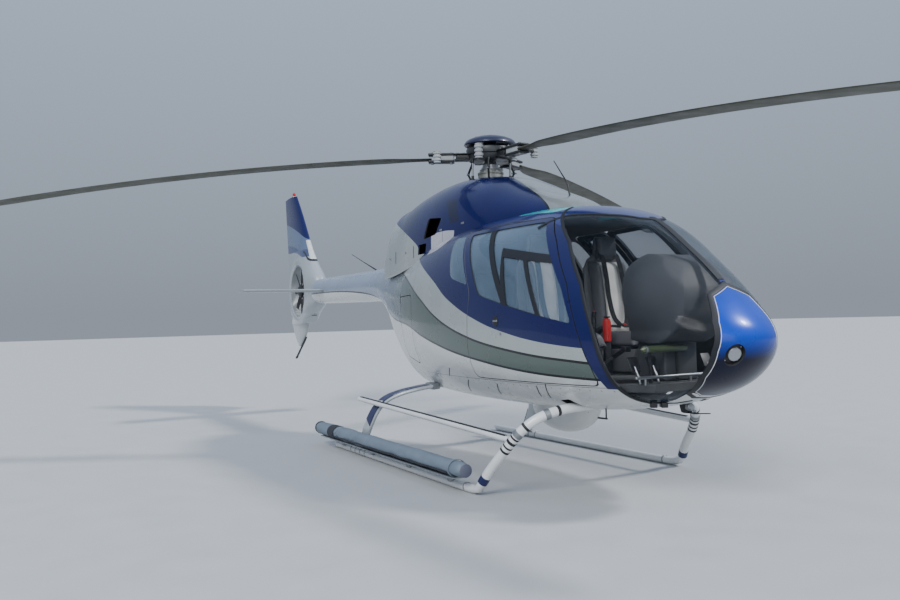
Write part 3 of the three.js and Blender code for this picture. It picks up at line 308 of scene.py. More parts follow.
# Flat charts of that surface, in which a panel's mesh is laid out: (to, from, point, normal)

ROLL = 700.0
POLAR = 25.0

CHARTS = {
    "roll": (lambda run, angle: (NOSE_X - run ** 2,
                                 ROLL * (np.mod(angle + math.pi * 1.5, 2 * math.pi) - math.pi)),
             lambda a, b: (np.sqrt(np.maximum(NOSE_X - a, 0)), b / ROLL - math.pi / 2), hull_point,
             hull_normal),
    "top": (lambda run, angle: (NOSE_X - run ** 2, ROLL * (angle - math.pi / 2)),
            lambda a, b: (np.sqrt(np.maximum(NOSE_X - a, 0)), b / ROLL + math.pi / 2), hull_point,
            hull_normal),
    "polar": (lambda run, angle: (POLAR * run * np.cos(angle), POLAR * run * np.sin(angle)),
              lambda a, b: (np.hypot(a, b) / POLAR, np.arctan2(b, a)), hull_point, hull_normal),
}


# Meshes

def new_object(name, verts, faces, materials, material_index=None):
    """A smooth mesh object from points in the shared frame, in metres."""
    mesh = bpy.data.meshes.new(name)
    mesh.from_pydata([tuple(v) for v in verts], [], [tuple(int(i) for i in f) for f in faces])
    for material in materials:
        mesh.materials.append(material)
    if material_index is not None:
        mesh.polygons.foreach_set("material_index", np.asarray(material_index, np.int32))
    mesh.shade_smooth()
    mesh.update()
    mesh.set_sharp_from_angle(angle=math.radians(38))
    piece = bpy.data.objects.new(name, mesh)
    bpy.context.scene.collection.objects.link(piece)
    return piece


def facing_out(piece, merge=0.0):
    """Turns a piece's faces outwards, after joining vertices closer than the merge distance."""
    work = bmesh.new()
    work.from_mesh(piece.data)
    if merge:
        bmesh.ops.remove_doubles(work, verts=work.verts, dist=merge)
    bmesh.ops.recalc_face_normals(work, faces=work.faces)
    work.to_mesh(piece.data)
    work.free()
    return piece


def chart_lines(to, lines, pitch):
    """Constraint lines for a chart. Each line is (first parameter, second, valid) at close points."""
    points, edges = [], []
    for first, second, valid in lines:
        line = np.stack(to(first, second), 1)
        for k in range(len(line) - 1):
            near = np.linalg.norm(line[k + 1] - line[k]) < 12 * pitch
            if valid[k] and valid[k + 1] and near:
                edges.append((len(points), len(points) + 1))
                points += [line[k], line[k + 1]]
    return np.array(points), edges


def flat_mesh(fixed, edges, keep, window, pitch):
    """Triangles over a flat region: a staggered grid and the lines' points, where keep() is true."""
    a = np.arange(window[0], window[1] + pitch, pitch)
    b = np.arange(window[2], window[3] + pitch, pitch)
    grid = np.stack(np.meshgrid(a, b, indexing="ij"), -1).reshape(-1, 2).astype(float)
    grid[:, 1] += np.where(np.round((grid[:, 0] - window[0]) / pitch).astype(int) % 2 == 1, pitch / 2, 0)
    grid = grid[keep(grid)]
    clear = np.ones(len(grid), bool)
    for k in range(0, len(fixed), 400):
        gap = np.min(np.linalg.norm(grid[:, None] - fixed[None, k:k + 400], axis=2), axis=1)
        clear &= gap > 0.5 * pitch
    flat = np.vstack([fixed, grid[clear]])
    verts, _, tris, *_ = geometry.delaunay_2d_cdt([Vector(p) for p in flat], edges, [], 0, 1e-3, False)
    verts, tris = np.array([tuple(v) for v in verts]), np.array(tris)
    tris = tris[keep(verts[tris].mean(1))]
    used, tris = np.unique(tris, return_inverse=True)
    return verts[used], tris.reshape(-1, 3)


def shell(name, top, foot, tris, out, materials):
    """A closed sheet between outer and inner points. Material 0 is outside, 1 inside and on the rims."""
    facing = np.cross(top[tris[:, 1]] - top[tris[:, 0]], top[tris[:, 2]] - top[tris[:, 0]])
    turned = np.sum(facing * out[tris[:, 0]], 1) < 0
    tris[turned] = tris[turned][:, ::-1]
    sides = {}
    for t in tris:
        for p, q in ((t[0], t[1]), (t[1], t[2]), (t[2], t[0])):
            if (q, p) in sides:
                del sides[(q, p)]
            else:
                sides[(p, q)] = True
    count = len(top)
    faces = [tuple(t) for t in tris] + [tuple(t[::-1] + count) for t in tris]
    rims = [(q, p, p + count, q + count) for p, q in sides]
    index = [0] * len(tris) + [1] * (len(tris) + len(rims))
    return new_object(name, place(np.vstack([top, foot])), faces + rims, materials, index)


def surface_sheet(name, chart, lines, keep, window, pitch, depth, thickness, materials,
                  replaces=(), body="airframe", merge=0.0):
    """A piece that is a curved sheet of a surface, between the lines and where keep(points) is true.

    window is the chart's (lowest a, highest a, lowest b, highest b). The sheet's outer face lies at
    a depth below the surface, and its inner face a thickness below that.
    """
    to, back, point, normal = CHARTS[chart]
    fixed, edges = chart_lines(to, lines, pitch)
    flat, tris = flat_mesh(fixed, edges, lambda p: keep(point(*back(*p.T))), window, pitch)
    params = back(*flat.T)
    outer, out = point(*params), normal(*params)
    piece = shell(name, outer - out * depth, outer - out * (depth + thickness), tris, out, materials)
    return ridden(facing_out(piece, merge) if merge else piece, body, replaces)


def side_test(points, outline, side=0):
    """True where surface points lie inside an outline seen from the side."""
    ok = inside(points[:, [0, 2]], outline)
    return ok & (points[:, 1] * side > 0) if side else ok


def side_line(line, side, pitch=12, closed=True):
    return hull_from_side(dense(line, pitch, closed), side)


def side_window(outline, side):
    """The roll chart's window round an outline."""
    middle = side * math.pi / 2 * ROLL
    return outline[:, 0].min() - 40, outline[:, 0].max() + 40, middle - 1050, middle + 1050


def side_panel(name, side, outline, cuts, materials, depth=0.0, thickness=SKIN, pitch=26, **piece):
    """A panel of one side of the fuselage, inside an outline and outside the cuts."""
    def keep(points):
        ok = side_test(points, outline, side)
        for hole in cuts:
            ok &= ~side_test(points, hole)
        return ok

    return surface_sheet(name, "roll", [side_line(o, side) for o in [outline, *cuts]], keep,
                         side_window(outline, side), pitch, depth, thickness, materials, **piece)


# Shapes. Each returns points and faces, and a Builder gathers them into one piece.

def loft(rings, closed=False):
    """Faces between rings of equal count, with flat ends, or closed round a loop."""
    rings = [np.asarray(r, float) for r in rings]
    count, last = len(rings[0]), len(rings) - 1
    faces = []
    for i in range(last + closed):
        a, b = i * count, (i + 1) % (last + 1) * count
        faces += [(a + j, a + (j + 1) % count, b + (j + 1) % count, b + j) for j in range(count)]
    if not closed:
        faces += [tuple(range(count))[::-1], tuple(last * count + j for j in range(count))]
    return np.vstack(rings), faces


def swept(path, section, facing=(0, 0, 1), closed=False, sizes=None):
    """A section (side, up) swept along a path, with an optional size at each point.

    The section's up leans towards facing, which is one vector or one for each point.
    """
    path, section = np.asarray(path, float), np.asarray(section, float)
    along = unit(np.roll(path, -1, 0) - np.roll(path, 1, 0) if closed else np.gradient(path, axis=0))
    side = unit(np.cross(along, np.broadcast_to(facing, path.shape)))
    sizes = np.ones(len(path)) if sizes is None else sizes
    return loft([p + s * (section[:, :1] * a + section[:, 1:] * b)
                 for p, s, a, b in zip(path, sizes, side, np.cross(side, along))], closed)


def circle(radius, sides):
    turns = 2 * math.pi * (np.arange(sides) + 0.5) / sides
    return np.stack([radius * np.cos(turns), radius * np.sin(turns)], 1)


def tube(path, radius, sides, facing=(0, 0, 1), ends=0.35):
    """A round bar, with its ends softened by a share of its radius."""
    path, sizes = np.asarray(path, float), None
    if ends:
        tips = [p + unit(d) * radius * ends
                for p, d in ((path[0], path[0] - path[1]), (path[-1], path[-1] - path[-2]))]
        path = np.vstack([tips[:1], path, tips[1:]])
        sizes = np.ones(len(path))
        sizes[[0, -1]] = 1 - ends
    return swept(path, circle(radius, sides), facing, sizes=sizes)


def arc_lengths(points):
    return np.concatenate([[0], np.cumsum(np.linalg.norm(np.diff(points, axis=0), axis=1))])


def curve_through(points, pitch):
    """A smooth line through points, with a point about every pitch."""
    points = np.asarray(points, float)
    keys = arc_lengths(points)
    return smooth_rows(keys, points, np.linspace(0, keys[-1], max(2, int(keys[-1] / pitch) + 1)))


def part_of(line, start, stop, pitch=12):
    """A line's points between two arc lengths."""
    at = np.linspace(start, stop, max(2, int((stop - start) / pitch) + 1))
    return np.stack([np.interp(at, arc_lengths(line), line[:, i]) for i in range(3)], 1)


def lathe(profile, at=(0, 0, 0), axis=(0, 0, 1), sides=32):
    """A turned shape from (radius, height) pairs, round an axis through a point."""
    axis = Vector(axis).normalized()
    turn = np.array(Vector((0, 0, 1)).rotation_difference(axis).to_matrix())
    turns = 2 * math.pi * np.arange(sides) / sides
    rings = [np.stack([r * np.cos(turns), r * np.sin(turns), np.full(sides, h)], 1) @ turn.T + at
             for r, h in profile]
    return loft(rings)


def block(low, high, soft, steps=3):
    """A box with rounded edges."""
    low, high = np.array(low, float), np.array(high, float)
    soft = min(soft, 0.49 * (high - low).min())
    middle, half = (low + high) / 2, (high - low) / 2 - soft
    corner = np.linspace(0, math.pi / 2, steps + 1)
    ring = []
    for k, (sx, sy) in enumerate(((1, 1), (-1, 1), (-1, -1), (1, -1))):
        for t in corner:
            ring.append([sx * half[0], sy * half[1], math.cos(t + k * math.pi / 2),
                         math.sin(t + k * math.pi / 2)])
    ring, rings = np.array(ring), []
    for sign in (-1, 1):
        for t in (corner if sign < 0 else corner[::-1]):
            reach = soft * math.sin(t)
            z = sign * (half[2] + soft * math.cos(t))
            rings.append(np.stack([ring[:, 0] + reach * ring[:, 2], ring[:, 1] + reach * ring[:, 3],
                                   np.full(len(ring), z)], 1) + middle)
    return loft(rings)


def prism(outline, low, high, axis, soft):
    """An outline in the two other axes, drawn along an axis, with its edges softened."""
    outline = np.asarray(outline, float)
    centre = outline.mean(0)
    less = 1 - soft / np.abs(outline - centre).mean()
    levels = [(low, less), (low + soft, 1), (high - soft, 1), (high, less)] if soft else [(low, 1), (high, 1)]
    return loft([np.insert(centre + (outline - centre) * scale, axis, at, axis=1) for at, scale in levels])


def turned(shape, angles):
    """A shape turned by Euler angles about the origin."""
    x, y, z = (Matrix.Rotation(angle, 3, axis) for angle, axis in zip(angles, "XYZ"))
    return shape[0] @ np.array(z @ y @ x).T, shape[1]


def moved(shape, by):
    return shape[0] + np.asarray(by, float), shape[1]


def mirrored(shape, side):
    """The shape on the other side of the centre plane where side is -1 (drawn on the port side)."""
    if side > 0:
        return shape
    return shape[0] * [1, -1, 1], [tuple(f[::-1]) for f in shape[1]]


class Builder:
    """Gathers shapes into one mesh object."""

    def __init__(self, *materials):
        self.materials, self.verts, self.faces, self.index = materials, [], [], []

    def add(self, shape, material=0):
        start = len(self.verts)
        self.verts += [tuple(v) for v in shape[0]]
        self.faces += [tuple(start + i for i in f) for f in shape[1]]
        self.index += [material] * len(shape[1])
        return self

    def add_all(self, pairs):
        """Adds shapes that come as (shape, material's number)."""
        for shape, material in pairs:
            self.add(shape, material)
        return self

    def piece(self, name, body="airframe", replaces=(), to=place):
        made = new_object(name, to(self.verts), self.faces, self.materials, self.index)
        return ridden(facing_out(made), body, replaces)


def seated(shape, at, out):
    """A shape drawn at the origin with +Z out, set on a surface."""
    across = unit(np.cross(out, (1, 0, 0)))
    return np.asarray(at) + shape[0] @ np.stack([np.cross(across, out), across, out]), shape[1]


def on_hull(x, z, side):
    """The fuselage's point and normal at x, z on one side."""
    spot = hull_from_side(np.array([[x, z]], float), side)[:2]
    return hull_point(*spot)[0], hull_normal(*spot)[0]


def strip(params, half, rise, chart="roll", closed=False):
    """A thin raised strip along a line on a surface."""
    first, second, valid = params
    if not closed:
        first, second = first[valid], second[valid]
    point, normal = CHARTS[chart][2:]
    section = [[-half, -3], [half, -3], [half, rise * 0.4], [half * 0.6, rise], [-half * 0.6, rise],
               [-half, rise * 0.4]]
    return swept(point(first, second), section, normal(first, second), closed)


def ridden(piece, body="airframe", replaces=()):
    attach(piece, body)
    if replaces:
        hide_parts(*replaces)
    return piece


# Materials

def linear(red, green, blue):
    """A colour from 0-255 screen values."""
    return tuple(((v / 255 + 0.055) / 1.055) ** 2.4 if v > 10 else v / 255 / 12.92
                 for v in (red, green, blue))


def node(tree, kind, inputs=None, **settings):
    made = tree.nodes.new("ShaderNode" + kind)
    for key, value in settings.items():
        setattr(made, key, value)
    for key, value in (inputs or {}).items():
        if isinstance(value, bpy.types.NodeSocket):
            tree.links.new(value, made.inputs[key])
        else:
            made.inputs[key].default_value = value
    return made


def maths(tree, operation, a, b=0.0, clamp=False):
    return node(tree, "Math", {0: a, 1: b}, operation=operation, use_clamp=clamp).outputs[0]


def mapped(tree, value, low, high, to_low, to_high):
    return node(tree, "MapRange", {0: value, 1: low, 2: high, 3: to_low, 4: to_high}).outputs[0]


def mixed(tree, factor, a, b, blend="MIX"):
    a, b = ((*c, 1) if isinstance(c, tuple) else c for c in (a, b))
    return node(tree, "Mix", {0: factor, 6: a, 7: b}, data_type="RGBA", blend_type=blend).outputs[2]


def table_curve(tree, value, table, axis=0):
    """The table's other coordinate at a given x (axis 0) or z (axis 1), both in the shared frame."""
    knots = np.array([[*place([x, 0, z])[[0, 2]]] for x, z in table])
    knots = knots[np.argsort(knots[:, axis])]
    (k0, k1), (v0, v1) = ((knots[:, i].min(), knots[:, i].max()) for i in (axis, 1 - axis))
    curve = node(tree, "FloatCurve", {1: mapped(tree, value, k0, k1, 0, 1)})
    line = curve.mapping.curves[0]
    spots = [((k[axis] - k0) / (k1 - k0), (k[1 - axis] - v0) / (v1 - v0)) for k in knots]
    line.points[0].location, line.points[-1].location = spots[0], spots[-1]
    for spot in spots[1:-1]:
        line.points.new(*spot)
    curve.mapping.update()
    return mapped(tree, curve.outputs[0], 0, 1, v0, v1)


def finish(name, color, roughness=0.4, metallic=0.0, coat=0.0, grain=400.0, bump=0.03, mottle=0.08, patch=3.0,
           paint=None, **sockets):
    """A material with patchy colour and gloss and a fine grain. paint(tree, place) may give its colour."""
    material = bpy.data.materials.new(name)
    material.use_nodes = True
    tree = material.node_tree
    shader = tree.nodes["Principled BSDF"]
    spot = node(tree, "TexCoord").outputs["Object"]
    slow = node(tree, "TexNoise", {"Vector": spot, "Scale": patch, "Detail": 5.0}).outputs[0]
    fine = node(tree, "TexNoise", {"Vector": spot, "Scale": grain, "Detail": 3.0}).outputs[0]
    base = paint(tree, spot) if paint else color
    shade = node(tree, "CombineColor",
                 {i: mapped(tree, slow, 0.3, 0.7, 1 - mottle, 1 + mottle) for i in range(3)})
    tree.links.new(mixed(tree, 1.0, base, shade.outputs[0], "MULTIPLY"), shader.inputs["Base Color"])
    tree.links.new(mapped(tree, slow, 0.3, 0.7, roughness * 0.85, min(1, roughness * 1.2)),
                   shader.inputs["Roughness"])
    shader.inputs["Metallic"].default_value = metallic
    shader.inputs["Coat Weight"].default_value = coat
    shader.inputs["Coat Roughness"].default_value = 0.03
    for key, value in sockets.items():
        shader.inputs[key.replace("_", " ")].default_value = value
    relief = node(tree, "Bump", {"Strength": bump, "Distance": 0.002, "Height": fine})
    tree.links.new(relief.outputs[0], shader.inputs["Normal"])
    return material


def enamel(name, color, roughness, metallic, coat, **more):
    """Sprayed paint, with the fine grain that all of it shares."""
    return finish(name, color, roughness, metallic, coat, **{"grain": 160, "bump": 0.012, **more})


def glass(name, color, clear, grazing, roughness=0.02):
    """Glass, with how much of its surface shows face on (clear) and at a grazing angle."""
    material = finish(name, color, roughness, mottle=0.2, patch=1.7, bump=0.004, grain=9.0)
    tree = material.node_tree
    facing = node(tree, "LayerWeight", {0: 0.35}).outputs[1]
    tree.links.new(mapped(tree, facing, 0.35, 1, clear, grazing),
                   tree.nodes["Principled BSDF"].inputs["Alpha"])
    return material


# Stripe lines of the fuselage, as x and z
BLUE_FOOT = [(-1400, 2200), (-568, 1936), (99, 1676), (454, 1485), (1016, 1282), (1445, 1185), (1694, 1144),
             (2017, 1107), (2400, 1080)]
UPPER_STRIPE = [(-4900, 2300), (-3000, 2260), (-1900, 2040), (-1370, 1881), (-743, 1723), (-211, 1520),
                (165, 1349), (471, 1245), (746, 1175), (1005, 1123), (1436, 1063), (1796, 1025),
                (2098, 1003), (2400, 978)]
LOWER_STRIPE = [(-4900, 1760), (-3000, 1700), (-2200, 1560), (-1446, 1352), (-661, 1272), (-134, 1163),
                (225, 1091), (528, 1037), (963, 978), (1389, 930), (1747, 902), (2051, 888), (2400, 876)]
STRIPE_HALF = 0.009
PILLAR_REAR = [(2300, 700), (2290, 840), (2254, 960), (2146, 1240), (2032, 1531), (1826, 1844), (1640, 2058),
               (1500, 2150)]

NAVY = linear(7, 17, 76)
SILVER = linear(158, 165, 164)
BAND = linear(84, 96, 90)
PALE = linear(206, 208, 206)
STRIPE = linear(16, 18, 22)
SHROUD_SILVER = linear(158, 164, 168)
RECESS = linear(176, 176, 184)
BOOM_BAND = linear(136, 148, 166)
RAMP_GREY = linear(120, 126, 128)
LEADING_BLUE, BLUE_GREY, SWOOSH = linear(24, 62, 150), linear(92, 108, 136), linear(58, 72, 112)
# Lines of the paint on the cowling, fin and shroud, as x and z
COWL_FOOT = [(-1760, 2480), (-1395, 2360), (-922, 2207), (-613, 2072), (-380, 1950), (1420, 1940)]
FIN_NAVY_FOOT = [(-6560, 2985), (-6318, 2940), (-5799, 2799), (-5380, 2622), (-5150, 2520)]
FIN_SWOOSH_FOOT = [(-6560, 2640), (-6315, 2611), (-5838, 2533), (-5525, 2430), (-5150, 2260)]
FIN_LEAD = [(-5965, 3375), (-5700, 3050), (-5450, 2700), (-5290, 2470), (-5090, 2220)]
FIN_DARK_FOOT = [(-6560, 2510), (-6315, 2480), (-5838, 2450), (-5525, 2380), (-5150, 2230)]
CHEVRON = [(-5440, 2440), (-5400, 2425), (-5090, 2285), (-4960, 2400)]
# The dark band across the cowling
COWL_BAND_REAR, COWL_BAND_FRONT = [(-17, 2424), (105, 2202)], [(168, 2397), (281, 2181)]
# The pale recess below the cowling's doors
RECESS_TOP = [(-250, 2097), (-74, 2131), (189, 2116)]
RECESS_FOOT = [(-250, 1930), (91, 1990), (189, 2100)]


def under(tree, value, level, shift=0.0):
    """1 where a value is below a level, 0 above it, with a sharp edge."""
    return maths(tree, "MULTIPLY", maths(tree, "SUBTRACT", maths(tree, "ADD", level, shift), value), 900.0,
                 True)


def near(tree, value, level, half):
    return maths(tree, "LESS_THAN", maths(tree, "ABSOLUTE", maths(tree, "SUBTRACT", value, level)), half)


def both(tree, first, *others):
    for factor in others:
        first = maths(tree, "MULTIPLY", first, factor)
    return first


def between(tree, value, low, high):
    return both(tree, under(tree, low, value), under(tree, value, high))


def x_at(x):
    return float(place([x, 0, 0])[0])


def z_at(z):
    return float(place([0, 0, z])[2])


def axes(tree, spot):
    return node(tree, "SeparateXYZ", {0: spot}).outputs


def under_line(tree, x, z, table):
    """1 below a line that is given as x and z."""
    return under(tree, z, table_curve(tree, x, table))


def over_line(tree, x, z, table):
    return under(tree, table_curve(tree, x, table), z)


def layered(tree, color, *layers):
    """A colour under others, each given as how much of it shows and the colour."""
    for factor, over in layers:
        color = mixed(tree, factor, color, over)
    return color


def recess(tree, x, z):
    return both(tree, under_line(tree, x, z, RECESS_TOP), over_line(tree, x, z, RECESS_FOOT),
                between(tree, x, x_at(RECESS_FOOT[0][0]), x_at(RECESS_FOOT[-1][0])))


def lead_band(tree, x, z, reach):
    """1 on the fin's front edge, as far back as the reach in metres."""
    return under(tree, table_curve(tree, z, FIN_LEAD, 1), x, reach)


def chevron(tree, x, z):
    return both(tree, near(tree, z, table_curve(tree, x, CHEVRON), 0.016),
                between(tree, x, x_at(-5440), x_at(-4950)))


def livery(tree, spot):
    x, _, z = axes(tree, spot)
    band = mixed(tree, mapped(tree, x, x_at(-2200), x_at(-700), 0, 1), BOOM_BAND, BAND)
    color = mixed(tree, under_line(tree, x, z, BLUE_FOOT), NAVY, SILVER)
    for table, after in ((UPPER_STRIPE, band), (LOWER_STRIPE, PALE)):
        level = table_curve(tree, x, table)
        color = layered(tree, color, (under(tree, z, level, STRIPE_HALF), STRIPE),
                        (under(tree, z, level, -STRIPE_HALF), after))
    pillar = both(tree, under(tree, table_curve(tree, z, PILLAR_REAR, 1), x), under(tree, z_at(815), z))
    # The lowest seam with the screws along it, and the seams across the body
    screw = both(tree, near(tree, z, z_at(SEAM_Z - 22), 0.004),
                 maths(tree, "LESS_THAN", maths(tree, "FRACT", maths(tree, "MULTIPLY", x, 11.0)), 0.085))
    marks = both(tree, maths(tree, "MAXIMUM", near(tree, z, z_at(SEAM_Z), 0.0022), screw),
                 between(tree, x, x_at(-430), x_at(2330)))
    for at in (BULKHEAD_X, -1480.0, BOOM_X):
        marks = maths(tree, "MAXIMUM", marks, near(tree, x, x_at(at), 0.0024))
    return layered(tree, color, (pillar, NAVY), (recess(tree, x, z), RECESS),
                   (maths(tree, "MULTIPLY", marks, 0.75), STRIPE))


def cowl_paint(tree, spot):
    x, y, z = axes(tree, spot)
    band = both(tree, under(tree, table_curve(tree, z, COWL_BAND_REAR, 1), x),
                under(tree, x, table_curve(tree, z, COWL_BAND_FRONT, 1)),
                between(tree, z, z_at(2190), z_at(2412)))
    # The grey of the front ramp widens towards the windshield, with a black line at its edge
    edge = maths(tree, "MULTIPLY", maths(tree, "SUBTRACT", x, x_at(120)), 0.24)
    across = maths(tree, "ABSOLUTE", y)
    line = both(tree, near(tree, across, edge, 0.007), under(tree, x_at(120), x))
    # The seam between the fixed cowling and its doors
    door = both(tree, near(tree, x, x_at(-20), 0.0025), under(tree, 0.3, across))
    return layered(tree, NAVY, (under_line(tree, x, z, COWL_FOOT), SILVER), (recess(tree, x, z), RECESS),
                   (maths(tree, "MULTIPLY", band, 0.6), STRIPE), (under(tree, across, edge), RAMP_GREY),
                   (maths(tree, "MAXIMUM", line, door), STRIPE))


def fin_paint(tree, spot):
    x, _, z = axes(tree, spot)
    return layered(tree, NAVY, (under_line(tree, x, z, FIN_NAVY_FOOT), BLUE_GREY),
                   (under_line(tree, x, z, FIN_SWOOSH_FOOT), SWOOSH),
                   (under_line(tree, x, z, FIN_DARK_FOOT), SHROUD_SILVER),
                   (lead_band(tree, x, z, -0.025), LEADING_BLUE),
                   (both(tree, lead_band(tree, x, z, 0.035), under(tree, z, z_at(2614))), PALE),
                   (chevron(tree, x, z), STRIPE))


def shroud_paint(tree, spot):
    x, _, z = axes(tree, spot)
    dark = both(tree, over_line(tree, x, z, FIN_DARK_FOOT), under(tree, z_at(2350), z))
    lead = both(tree, lead_band(tree, x, z, 0.035), over_line(tree, x, z, CHEVRON))
    return layered(tree, SHROUD_SILVER, (dark, SWOOSH), (lead, PALE), (chevron(tree, x, z), STRIPE))


def cap_paint(tree, spot):
    """Navy below the lamp, turning bright blue above it. The bright blue above is a painted reflection of the
    sky.
    """
    share = mapped(tree, axes(tree, spot)[2], z_at(1010), z_at(1170), 0, 1)
    return mixed(tree, share, linear(6, 9, 36), linear(16, 62, 172))


def seat_cover(tree, spot):
    """Light leather between grey bolsters, with a dark seam between them."""
    off = maths(tree, "SUBTRACT", maths(tree, "ABSOLUTE", axes(tree, spot)[1]), SEAT_Y / 1000)
    across = maths(tree, "ABSOLUTE", off)
    return layered(tree, linear(86, 88, 92), (under(tree, across, 0.112), linear(236, 234, 228)),
                   (near(tree, across, 0.112, 0.0022), linear(30, 30, 32)))


LIVERY = enamel("livery", NAVY, 0.28, 0.25, 0.4, mottle=0.05, paint=livery, Specular_IOR_Level=0.3)
BLUE = enamel("blue_paint", linear(10, 26, 100), 0.22, 0.25, 0.4, mottle=0.07)
CROWN_PAINT = enamel("crown_paint", linear(14, 20, 52), 0.4, 0.2, 0.3, mottle=0.07)
# The nose cap's navy paint, lighter blue towards its top as a painted sky reflection
CAP_BLUE = enamel("cap_paint", NAVY, 0.24, 0.08, 0.12, mottle=0.07, paint=cap_paint, Specular_IOR_Level=0.25)
SILVER_PAINT = enamel("silver_paint", SILVER, 0.3, 0.3, 0.7, mottle=0.04)
STABILIZER_PAINT = enamel("stabilizer_paint", linear(132, 140, 142), 0.4, 0.2, 0.4)
POD_PAINT = enamel("pod_paint", PALE, 0.35, 0.1, 0.6, bump=0.015, mottle=0.05)
SHROUD_PAINT = enamel("shroud_paint", SHROUD_SILVER, 0.3, 0.3, 0.7, mottle=0.04, paint=shroud_paint)
FIN_PAINT = enamel("fin_paint", NAVY, 0.28, 0.2, 0.3, paint=fin_paint, Specular_IOR_Level=0.25)
COWL_PAINT = enamel("cowl_paint", NAVY, 0.25, 0.2, 0.3, paint=cowl_paint, Specular_IOR_Level=0.25)
RUBBER = finish("window_rubber", linear(14, 18, 26), 0.6, grain=700, bump=0.05)
TRIM = finish("cabin_trim", linear(98, 100, 98), 0.85, grain=1300, bump=0.35, mottle=0.1)
DARK_TRIM = finish("dark_trim", linear(38, 40, 42), 0.75, grain=900, bump=0.3)
SHIELD_GLASS = glass("windshield_glass", linear(60, 72, 86), 0.04, 0.75)
# The side panes' pale blue-grey colour is a painted reflection of the sky
SIDE_GLASS_PAINTED_SKY = glass("side_glass_painted_sky", linear(112, 134, 156), 0.3, 0.8)
TEAL_GLASS = glass("roof_glass", linear(40, 170, 175), 0.75, 0.95)
LAMP_WHITE = finish("lamp_reflector", linear(244, 246, 248), 0.15, 0.6, 0.5, grain=60, bump=0.01, mottle=0.02)
CLEAR = glass("lamp_glass", linear(235, 240, 244), 0.12, 0.9)
RED_GLASS = glass("beacon_red", linear(190, 12, 10), 0.75, 0.95, 0.08)
HUB_METAL = finish("hub_metal", linear(52, 54, 56), 0.42, 0.6, grain=260, bump=0.06, mottle=0.2, patch=14)
RUBBER_GREY = finish("damper_grey", linear(150, 154, 156), 0.6, grain=500, bump=0.1, mottle=0.1)
BLACK = finish("satin_black", linear(24, 25, 27), 0.45, grain=500, bump=0.06)
STEEL = finish("worn_steel", linear(150, 153, 156), 0.35, 0.9, grain=300, bump=0.05, mottle=0.12)
SOOT = finish("sooty_steel", linear(96, 86, 78), 0.5, 0.8, grain=120, bump=0.1, mottle=0.3)
BLADE_PAINT = finish("blade_coating", linear(60, 60, 44), 0.55, grain=300, bump=0.05, mottle=0.12, patch=6)
GEAR_WHITE = finish("gear_white", linear(214, 216, 216), 0.35, 0, 0.6, grain=220, bump=0.02, mottle=0.06)
CAST = finish("cast_housing", linear(120, 122, 118), 0.55, 0.5, grain=180, bump=0.12, mottle=0.15, patch=8)
VINYL = finish("float_vinyl", linear(104, 116, 128), 0.5, grain=60, bump=0.25, mottle=0.12, patch=9)
STRAP = finish("bag_strap", linear(40, 42, 50), 0.7, grain=900, bump=0.4, mottle=0.15, patch=14)
BAG_CAP = finish("bag_cap", linear(84, 88, 104), 0.55, grain=500, bump=0.2, mottle=0.12)
GEAR_SILVER = finish("gear_silver", linear(176, 182, 186), 0.35, 0.3, 0.4, grain=220, bump=0.02, mottle=0.06)
NAVY_FACE = finish("gear_navy", linear(24, 30, 78), 0.35, 0.2, 0.3, grain=220, bump=0.02, mottle=0.08)
DUCT_PAINT = finish("duct_grey", linear(150, 154, 156), 0.4, 0.3, grain=200, bump=0.03)
HOOD_COVER = finish("hood_cover", linear(58, 60, 64), 0.62, grain=1100, bump=0.35, mottle=0.14, patch=5)
CARPET = finish("cabin_carpet", linear(66, 68, 70), 0.95, grain=2200, bump=0.8, mottle=0.2, patch=12)
SEAT_LEATHER = finish("seat_leather", PALE, 0.5, grain=850, bump=0.3, mottle=0.08, patch=11, paint=seat_cover)
BENCH_LEATHER = finish("bench_leather", linear(96, 98, 102), 0.5, grain=850, bump=0.3, mottle=0.1, patch=11)
HEAD_LEATHER = finish("head_leather", linear(72, 74, 78), 0.5, grain=850, bump=0.3, mottle=0.1, patch=11)
SHELL_GREY = finish("seat_shell", linear(92, 94, 96), 0.5, grain=500, bump=0.12, mottle=0.08)
WEBBING = finish("belt_webbing", linear(26, 27, 30), 0.8, grain=1500, bump=0.7, mottle=0.12, patch=40)
RED = finish("red_paint", linear(176, 26, 20), 0.35, 0, 0.5, grain=200, bump=0.03)
GREEN = finish("green_paint", linear(66, 78, 50), 0.4, 0, 0.4, grain=200, bump=0.03)
SCREEN = finish("screen_glass", linear(14, 18, 24), 0.08, coat=1.0, grain=60, bump=0.005, mottle=0.3)
MARKS = finish("dial_marks", linear(214, 214, 206), 0.6, grain=500, bump=0.02)

# The camera, at the photograph's view

CAMERA_AT = (6.539, -4.022, 1.291)
YAW, PITCH, TILT = (math.radians(a) for a in (151.55, 1.57, -1.57))


def add_camera():
    ahead = Vector((math.cos(YAW) * math.cos(PITCH), math.sin(YAW) * math.cos(PITCH), math.sin(PITCH)))
    right = Vector((math.sin(YAW), -math.cos(YAW), 0))
    up = right.cross(ahead)
    axes = (right * math.cos(TILT) + up * math.sin(TILT), up * math.cos(TILT) - right * math.sin(TILT),
            -ahead)
    lens = bpy.data.cameras.new("camera")
    lens.sensor_width, lens.lens = 36.0, 32.28
    camera = bpy.data.objects.new("camera", lens)
    camera.matrix_world = Matrix(axes).transposed().to_4x4()
    camera.matrix_world.translation = Vector(CAMERA_AT) + Vector(MAST)
    bpy.context.scene.collection.objects.link(camera)
    bpy.context.scene.camera = camera


# Fuselage panels

DOOR_HOLE = rounded(grown(DOOR_RIGHT, DOOR_GAP))
SHIELD = rounded(WINDSHIELD)
FRONT_OF_ROOF = np.vstack([ROOF_EDGE, [[1560, 1000], [3300, 1000], [3300, -1000], [1560, -1000]]])
CAP = np.array(CAP_EDGE + [[-y, z] for y, z in CAP_EDGE[-2:0:-1]], float)
